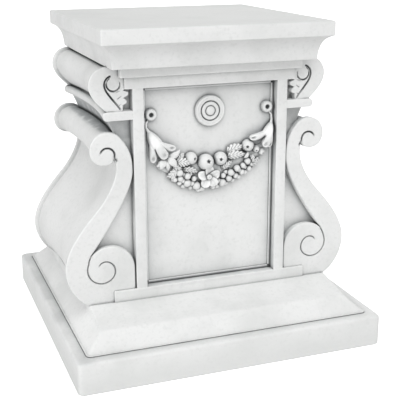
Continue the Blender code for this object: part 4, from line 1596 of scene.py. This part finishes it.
@dataclass(frozen=True)
class Bellflower:
    """A hanging trumpet flower: a swelling body that ends in bold curled lobes."""

    top: Point2
    mouth: Point2
    width: float
    lobes: tuple[Sheet, ...]
    stem: tuple[Point2, ...]
    top_stand: float = 0.0032
    mouth_stand: float = 0.0088

    def add(self, data: BMesh) -> None:
        """Add trumpet, lobes and stem to mesh data.

        Args:
            data: Mesh data to add to.
        """
        start = on_panel(*self.top, self.top_stand)
        run = on_panel(*self.mouth, self.mouth_stand) - start
        self.add_trumpet(data, start, run)
        for lobe in self.lobes:
            lobe.add(data)
        self.add_stem(data, start + run * 0.06)

    def add_trumpet(self, data: BMesh, start: Vector, run: Vector) -> None:
        """Turn the swelling body from its start along its run."""
        length, r = run.length, self.width / 2
        neck = bezier((0.16 * r, 0.0), (0.50 * r, 0.16 * length), (0.72 * r, 0.34 * length),
                      (0.86 * r, 0.62 * length), 14)
        end_cap = bezier(neck[-1], (0.98 * r, 0.84 * length), (0.80 * r, 1.02 * length),
                         (0.01 * r, 1.02 * length), 12)

        def folds(share: float, angle: float) -> float:
            return 1 + 0.13 * max(0.0, share - 0.15) * math.cos(5 * angle)

        lathe(data, chain(neck, end_cap), start, run, 40, folds)

    def add_stem(self, data: BMesh, last: Vector) -> None:
        """Add the thin stem along its points, up to the last one inside the trumpet."""
        points = [on_panel(x, z, 0.0014) for x, z in self.stem] + [last]
        loops = []
        for i, point in enumerate(points):
            ahead = points[min(i + 1, len(points) - 1)] - points[max(i - 1, 0)]
            side = ahead.cross(Vector((0, 1, 0))).normalized()
            radius = 0.0010 + 0.0010 * i / len(points)
            loops.append([tuple(point + side * radius * math.cos(a)
                                + Vector((0, -1, 0)) * radius * math.sin(a))
                          for a in (2 * math.pi * k / 12 for k in range(12))])
        skin(data, loops)


@dataclass
class Festoon(SubAssembly):
    """Bellflowers, fruit, a blossom, berries and leaves on a crescent bed."""

    blossom_place: Point2 = (-0.0033, 0.2152)
    blossom_radius: float = 0.0142
    seed: int = 7

    def sheet(self, start: Point2, end: Point2, width: float, stands: tuple[float, float, float],
              bend: float = 0.0, **looks: object) -> Sheet:
        """Lay a leaf or petal between two points of the panel.

        Args:
            start: Its foot.
            end: Its tip.
            width: Its greatest width.
            stands: How far foot, middle and tip stand off the panel.
            bend: Sideways bow as a share of its length.
            looks: Further fields of the sheet.

        Returns:
            The sheet.
        """
        run = Vector(end) - Vector(start)
        bow = Vector((-run.y, run.x)) * bend
        first = Vector(start) + run * 0.33 + bow
        second = Vector(start) + run * 0.68 + bow
        return Sheet((tuple(on_panel(*start, stands[0])), tuple(on_panel(*first, stands[1])),
                      tuple(on_panel(*second, stands[1])), tuple(on_panel(*end, stands[2]))),
                     width, **looks)

    def bed(self) -> None:
        """Loft the crescent that carries the fruit."""
        stops = ((-0.0700, 0.2400, 0.0030, 0.0016), (-0.0620, 0.2350, 0.0070, 0.0035),
                 (-0.0480, 0.2290, 0.0095, 0.0042), (-0.0300, 0.2245, 0.0125, 0.0050),
                 (-0.0080, 0.2190, 0.0150, 0.0055), (0.0150, 0.2205, 0.0135, 0.0050),
                 (0.0350, 0.2265, 0.0120, 0.0045), (0.0530, 0.2345, 0.0095, 0.0040),
                 (0.0660, 0.2430, 0.0060, 0.0034), (0.0730, 0.2490, 0.0028, 0.0016))
        loops = []
        for i, (x, z, half, rise) in enumerate(stops):
            near = stops[max(i - 1, 0)], stops[min(i + 1, len(stops) - 1)]
            run = Vector((near[1][0] - near[0][0], near[1][1] - near[0][1])).normalized()
            loop = []
            for k in range(20):
                angle = 2 * math.pi * k / 20
                across = half * math.cos(angle)
                stand = rise * math.sin(angle) if math.sin(angle) > 0 else -0.0015
                loop.append(tuple(on_panel(x - run.y * across, z + run.x * across, stand)))
            loops.append(loop)
        data = bmesh.new()
        skin(data, loops)
        self.dress(to_object("festoon_bed", data, 60))

    def trumpets(self) -> None:
        """Build the two bellflowers with their curled lobes."""
        lobe = {"form": LeafForm.FLUTE, "rib": 0.0, "thickness": 0.0050, "crown": 0.0026,
                "dish": 0.0034, "along": 44}
        left = Bellflower(
            (-0.0775, 0.2765), (-0.0668, 0.2560), 0.0170,
            (self.sheet((-0.0755, 0.2735), (-0.0455, 0.2545), 0.0082, (0.0045, 0.0125, 0.0098),
                        -0.17, **lobe),
             self.sheet((-0.0762, 0.2735), (-0.0580, 0.2435), 0.0112, (0.0055, 0.0150, 0.0120),
                        -0.03, **lobe),
             self.sheet((-0.0770, 0.2735), (-0.0735, 0.2385), 0.0088, (0.0040, 0.0110, 0.0080),
                        0.05, **lobe)),
            ((-0.0768, 0.2890), (-0.0792, 0.2850), (-0.0795, 0.2800)))
        right = Bellflower(
            (0.0808, 0.2765), (0.0719, 0.2580), 0.0144,
            (self.sheet((0.0795, 0.2735), (0.0495, 0.2590), 0.0072, (0.0045, 0.0118, 0.0092),
                        0.16, **lobe),
             self.sheet((0.0800, 0.2735), (0.0680, 0.2468), 0.0102, (0.0055, 0.0142, 0.0112),
                        0.03, **lobe),
             self.sheet((0.0805, 0.2735), (0.0768, 0.2450), 0.0072, (0.0040, 0.0100, 0.0072),
                        -0.05, **lobe)),
            ((0.0778, 0.2895), (0.0812, 0.2850), (0.0820, 0.2795)))
        for name, flower in (("bellflower_left", left), ("bellflower_right", right)):
            data = bmesh.new()
            flower.add(data)
            self.dress(to_object(name, data, 60))

    def fruit(self) -> None:
        """Build the round fruits."""
        fruits = (Fruit((-0.0249, 0.2392), 0.0078, (0.52, -1, 0.02)),
                  Fruit((-0.0065, 0.2333), 0.0101, (0.12, -1, 0.26), 0.50),
                  Fruit((0.0130, 0.2358), 0.0084, (-0.20, -1, 0.04), 0.48),
                  Fruit((0.0491, 0.2492), 0.0077, (-0.40, -1, -0.12), 0.50),
                  Fruit((0.0601, 0.2438), 0.0046, (-0.2, -1, -0.4), 0.9),
                  Fruit((0.0677, 0.2400), 0.0045, (0.3, -1, -0.5), 0.8))
        data = bmesh.new()
        for item in fruits:
            item.add(data)
        self.dress(to_object("festoon_fruit", data, 60))

    def leaves(self) -> None:
        """Build the leaves and the lily-like petals below the left trumpet."""
        broad = {"veins": 5, "teeth": 5, "crown": 0.0019, "rib": -0.0011}
        small = {"veins": 3, "teeth": 4, "crown": 0.0015, "rib": -0.0008, "along": 30}
        slim = {"form": LeafForm.LANCE, "crown": 0.0016, "rib": -0.0005}
        rows = (
            ((0.0215, 0.2430), (0.0425, 0.2490), 0.0130, (0.004, 0.0062, 0.005), 0.06, broad),
            ((0.0215, 0.2375), (0.0450, 0.2385), 0.0110, (0.0065, 0.0085, 0.0075), 0.10, broad),
            ((0.0430, 0.2340), (0.0478, 0.2425), 0.0046, (0.006, 0.0090, 0.0075), -0.20, slim),
            ((0.0140, 0.2225), (0.0285, 0.2320), 0.0085, (0.0055, 0.0080, 0.0065), 0.05, broad),
            ((0.0530, 0.2380), (0.0558, 0.2265), 0.0060, (0.006, 0.0075, 0.0055), 0.08, small),
            ((0.0650, 0.2325), (0.0540, 0.2205), 0.0080, (0.0045, 0.0062, 0.0045), -0.06, broad),
            ((-0.0450, 0.2365), (-0.0255, 0.2335), 0.0120, (0.0060, 0.0085, 0.0075), 0.06, broad),
            ((-0.0400, 0.2385), (-0.0345, 0.2470), 0.0075, (0.0045, 0.0070, 0.0055), 0.05, small),
            ((-0.0360, 0.2265), (-0.0165, 0.2215), 0.0085, (0.0060, 0.0085, 0.0070), 0.10, broad),
            ((-0.0400, 0.2290), (-0.0560, 0.2175), 0.0110, (0.0050, 0.0066, 0.0045), 0.04, broad),
            ((-0.0420, 0.2280), (-0.0505, 0.2265), 0.0065, (0.0055, 0.0070, 0.0055), 0.10, small),
            ((-0.0430, 0.2270), (-0.0490, 0.2120), 0.0075, (0.0045, 0.0060, 0.0040), -0.06, small),
            ((-0.0480, 0.2330), (-0.0365, 0.2275), 0.0070, (0.0062, 0.0080, 0.0060), -0.08, small),
            ((-0.0560, 0.2430), (-0.0445, 0.2300), 0.0088, (0.0085, 0.0110, 0.0080), 0.10, slim),
            ((-0.0580, 0.2420), (-0.0640, 0.2290), 0.0092, (0.0080, 0.0100, 0.0065), -0.10, slim),
            ((-0.0545, 0.2440), (-0.0400, 0.2520), 0.0080, (0.0075, 0.0105, 0.0080), -0.14, slim),
            ((-0.0600, 0.2400), (-0.0690, 0.2330), 0.0070, (0.0065, 0.0080, 0.0050), 0.08, slim),
            ((-0.0570, 0.2405), (-0.0545, 0.2270), 0.0065, (0.0075, 0.0090, 0.0065), 0.05, slim))
        data = bmesh.new()
        for start, end, width, stands, bend, looks in rows:
            self.sheet(start, end, width, stands, bend, **looks).add(data)
        self.dress(to_object("festoon_leaves", data, 55))

    def petal_recipe(self) -> Recipe:
        """Write the tree that sets a petal round a centre a number of times."""
        recipe = Recipe("petals_round_centre")
        recipe.add_input("Petal Count", "NodeSocketInt")
        recipe.add_input("Ring Radius", "NodeSocketFloat")
        ring = recipe.node("GeometryNodeCurvePrimitiveCircle")
        recipe.feed("Petal Count", ring.inputs["Resolution"])
        recipe.feed("Ring Radius", ring.inputs["Radius"])
        spots = recipe.node("GeometryNodeCurveToPoints")
        recipe.feed("Petal Count", spots.inputs["Count"])
        recipe.link(ring.outputs["Curve"], spots.inputs["Curve"])
        place = recipe.node("GeometryNodeInputPosition")
        turn = recipe.node("FunctionNodeAlignRotationToVector")
        turn.axis = "X"
        turn.pivot_axis = "Z"
        recipe.link(place.outputs["Position"], turn.inputs["Vector"])
        setter = recipe.node("GeometryNodeInstanceOnPoints")
        recipe.link(spots.outputs["Points"], setter.inputs["Points"])
        recipe.feed("Geometry", setter.inputs["Instance"])
        recipe.link(turn.outputs["Rotation"], setter.inputs["Rotation"])
        recipe.close(setter.outputs["Instances"])
        return recipe

    def petal(self) -> bpy.types.Object:
        """Build one petal of the blossom, lying along X and facing Z."""
        r, steps, columns = self.blossom_radius, 16, 12
        spine = ((0.0, 0.0, 0.0072), (0.30 * r, 0.0, 0.0088), (0.66 * r, 0.0, 0.0124),
                 (0.95 * r, 0.0, 0.0092))
        loops = []
        for i, (x, _, z) in enumerate(bezier(*spine, steps)):
            t = i / steps
            half = 0.40 * r * max(0.05, math.sin(math.pi * (0.10 + 0.87 * t ** 1.2)) ** 0.6)
            front, back = [], []
            for j in range(columns + 1):
                v = 2 * j / columns - 1
                rise = 0.0009 * v + 0.0013 * abs(v) ** 2.5 * math.sin(math.pi * min(1, t + 0.1))
                rise -= 0.0008 * math.exp(-(v / 0.2) ** 2) * math.sin(math.pi * t)
                front.append((x, half * v, z + rise))
                back.append((x, 0.92 * half * v, z + rise - 0.0024))
            loops.append(front + back[::-1])
        data = bmesh.new()
        skin(data, loops)
        return to_object("blossom_petals", data, 60)

    def blossom(self) -> None:
        """Build the five-petalled blossom and its button."""
        obj = self.petal()
        self.petal_recipe().bake(obj, self.stone, Petal_Count=5, Ring_Radius=0.0012)
        x0, z0 = self.blossom_place
        for vertex in obj.data.vertices:
            x, y, z = vertex.co
            vertex.co = on_panel(x0 - y, z0 + x, z)
        self.dress(self.faced_out(obj))
        data = bmesh.new()
        r = self.blossom_radius
        line = [(0.25 * r, 0.005), (0.25 * r, 0.0096), (0.20 * r, 0.0112), (0.12 * r, 0.0118),
                (0.05 * r, 0.0112), (0.01 * r, 0.0110)]
        lathe(data, line, on_panel(x0, z0, 0), (0, -1, 0), 20)
        self.dress(to_object("blossom_button", data, 60))

    def faced_out(self, obj: bpy.types.Object) -> bpy.types.Object:
        """Turn the faces of a finished mesh outwards and shade it soft."""
        mend(obj)
        obj.data.shade_smooth()
        obj.data.set_sharp_from_angle(angle=math.radians(60))
        return obj

    def berry_recipe(self) -> Recipe:
        """Write the tree that sets a berry of slightly varied size on every point."""
        recipe = Recipe("berries_on_points")
        recipe.add_input("Berry Radius", "NodeSocketFloat")
        recipe.add_input("Least Size", "NodeSocketFloat")
        recipe.add_input("Most Size", "NodeSocketFloat")
        recipe.add_input("Seed", "NodeSocketInt")
        ball = recipe.node("GeometryNodeMeshUVSphere")
        ball.inputs["Segments"].default_value = 18
        ball.inputs["Rings"].default_value = 12
        recipe.feed("Berry Radius", ball.inputs["Radius"])
        smooth = recipe.node("GeometryNodeSetShadeSmooth")
        recipe.link(ball.outputs["Mesh"], smooth.inputs["Geometry"])
        size = recipe.node("FunctionNodeRandomValue")
        size.data_type = "FLOAT"
        numbers = [socket for socket in size.inputs if socket.type == "VALUE"]
        recipe.feed("Least Size", numbers[0])
        recipe.feed("Most Size", numbers[1])
        recipe.feed("Seed", size.inputs["Seed"])
        own = recipe.node("GeometryNodeInputNamedAttribute")
        own.data_type = "FLOAT"
        own.inputs["Name"].default_value = "berry_size"
        scale = recipe.node("ShaderNodeMath")
        scale.operation = "MULTIPLY"
        value = next(out for out in size.outputs if out.type == "VALUE" and out.enabled)
        recipe.link(value, scale.inputs[0])
        recipe.link(own.outputs["Attribute"], scale.inputs[1])
        setter = recipe.node("GeometryNodeInstanceOnPoints")
        recipe.feed("Geometry", setter.inputs["Points"])
        recipe.link(smooth.outputs["Geometry"], setter.inputs["Instance"])
        recipe.link(scale.outputs["Value"], setter.inputs["Scale"])
        recipe.close(setter.outputs["Instances"])
        return recipe

    def berries(self, name: str, spots: Sequence[tuple[float, float, float, float]]) -> None:
        """Set one cluster of berries.

        Args:
            name: Name of the piece.
            spots: X, Z, stand and radius of each berry.
        """
        unit = 0.004
        mesh = bpy.data.meshes.new(name)
        mesh.from_pydata([tuple(on_panel(x, z, stand)) for x, z, stand, _ in spots], [], [])
        sizes = mesh.attributes.new("berry_size", "FLOAT", "POINT")
        sizes.data.foreach_set("value", [radius / unit for *_, radius in spots])
        obj = linked(name, mesh)
        self.berry_recipe().bake(obj, self.stone, Berry_Radius=unit, Least_Size=0.94,
                                 Most_Size=1.06, Seed=self.seed)
        self.dress(self.faced_out(obj))

    def clusters(self) -> None:
        """Set the grapes on the right and the berries on the left."""
        grapes = ((0.0477, 0.2298, 0.0068, 0.0041), (0.0415, 0.2250, 0.0072, 0.0037),
                  (0.0334, 0.2224, 0.0078, 0.0045), (0.0502, 0.2203, 0.0055, 0.0034),
                  (0.0404, 0.2171, 0.0060, 0.0036), (0.0252, 0.2178, 0.0080, 0.0045),
                  (0.0157, 0.2148, 0.0070, 0.0036), (0.0321, 0.2132, 0.0060, 0.0037),
                  (0.0230, 0.2108, 0.0066, 0.0046), (0.0148, 0.2060, 0.0062, 0.0046),
                  (0.0454, 0.2160, 0.0045, 0.0030), (0.0367, 0.2108, 0.0042, 0.0031),
                  (0.0290, 0.2075, 0.0040, 0.0030), (0.0205, 0.2046, 0.0036, 0.0030),
                  (0.0448, 0.2225, 0.0042, 0.0032), (0.0372, 0.2196, 0.0050, 0.0034),
                  (0.0290, 0.2160, 0.0048, 0.0034), (0.0195, 0.2185, 0.0050, 0.0034),
                  (0.0535, 0.2250, 0.0040, 0.0030), (0.0085, 0.2020, 0.0040, 0.0034),
                  (0.0560, 0.2290, 0.0042, 0.0030), (0.0100, 0.2080, 0.0048, 0.0034))
        drupes = ((-0.0401, 0.2230, 0.0066, 0.0044), (-0.0306, 0.2182, 0.0072, 0.0044),
                  (-0.0223, 0.2143, 0.0070, 0.0038), (-0.0392, 0.2158, 0.0062, 0.0041),
                  (-0.0307, 0.2097, 0.0064, 0.0046), (-0.0398, 0.2103, 0.0046, 0.0034),
                  (-0.0190, 0.2052, 0.0062, 0.0052), (-0.0243, 0.2088, 0.0055, 0.0036),
                  (-0.0452, 0.2148, 0.0046, 0.0035), (-0.0350, 0.2060, 0.0036, 0.0030),
                  (-0.0255, 0.2035, 0.0036, 0.0032), (-0.0115, 0.2010, 0.0045, 0.0040),
                  (-0.0345, 0.2200, 0.0045, 0.0033), (-0.0265, 0.2205, 0.0050, 0.0034),
                  (-0.0355, 0.2128, 0.0048, 0.0034), (-0.0155, 0.1995, 0.0034, 0.0032),
                  (-0.0480, 0.2185, 0.0042, 0.0030), (0.0035, 0.2015, 0.0040, 0.0036))
        self.berries("festoon_grapes", grapes)
        self.berries("festoon_berries", drupes)

    def build(self) -> None:
        """Build the whole festoon."""
        self.bed()
        self.leaves()
        self.trumpets()
        self.fruit()
        self.blossom()
        self.clusters()


# Studio


@dataclass
class Studio:
    """Pale floor, soft light and the camera at the photograph's angle."""

    floor_half: float = 14.0
    world_strength: float = 0.43
    camera_place: Point3 = (-0.36984, -1.06816, 0.49532)
    camera_turn: Point3 = (1.2796, 0.0027, -0.3531)
    lens: float = 79.38
    lamps: tuple[tuple[str, Point3, float, float], ...] = (
        ("key_soft", (-0.05, -0.63, 0.77), 1.66, 50.0),
        ("front_soft", (0.12, -0.94, -0.62), 0.80, 60.0),
        ("left_soft", (-1.0, -0.10, 0.14), 1.16, 50.0),
        ("back_soft", (0.85, 0.9, 0.30), 0.90, 60.0),
    )

    def build(self) -> None:
        """Build floor, lights, world and camera."""
        self.floor()
        self.light()
        self.camera()

    def floor(self) -> None:
        """Lay the floor."""
        mesh = bpy.data.meshes.new("studio_floor")
        half = self.floor_half
        mesh.from_pydata([(-half, -half, 0), (half, -half, 0), (half, half, 0), (-half, half, 0)],
                         [], [(0, 1, 2, 3)])
        obj = linked("studio_floor", mesh)
        mesh.materials.append(PaleFloor().material())
        obj.visible_diffuse = False
        obj.visible_shadow = False

    def light(self) -> None:
        """Set an even white world and wide soft suns."""
        world = bpy.data.worlds.new("studio_light")
        world.use_nodes = True
        back = world.node_tree.nodes["Background"]
        back.inputs["Color"].default_value = (1.0, 1.0, 1.0, 1.0)
        back.inputs["Strength"].default_value = self.world_strength
        bpy.context.scene.world = world
        bpy.context.scene.view_settings.view_transform = "Standard"
        for name, direction, strength, spread in self.lamps:
            lamp = bpy.data.lights.new(name, "SUN")
            lamp.energy = strength
            lamp.angle = math.radians(spread)
            obj = linked(name, lamp)
            obj.rotation_euler = Vector(direction).to_track_quat("Z", "Y").to_euler()
            obj.location = direction

    def camera(self) -> None:
        """Set the camera."""
        data = bpy.data.cameras.new("camera")
        data.lens = self.lens
        data.sensor_width = 36.0
        obj = linked("camera", data)
        obj.location = self.camera_place
        obj.rotation_euler = self.camera_turn
        bpy.context.scene.camera = obj


def main() -> None:
    """Build every sub-assembly, report its pieces and set up the studio."""
    logging.basicConfig(level=logging.INFO, format="%(message)s")
    stone = CastStone().material()
    assemblies = [BaseMoulding(stone), Die(stone), Crown(stone),
                  Flank(stone, side=Side.LEFT, ribbon_turn=43.0), Flank(stone, side=Side.RIGHT),
                  PanelMarks(stone), Festoon(stone)]
    for assembly in assemblies:
        assembly.build()
        for piece in assembly.pieces:
            LOG.info("%s: %d faces", piece.name, len(piece.data.polygons))
    Studio().build()


if __name__ == "__main__":
    main()
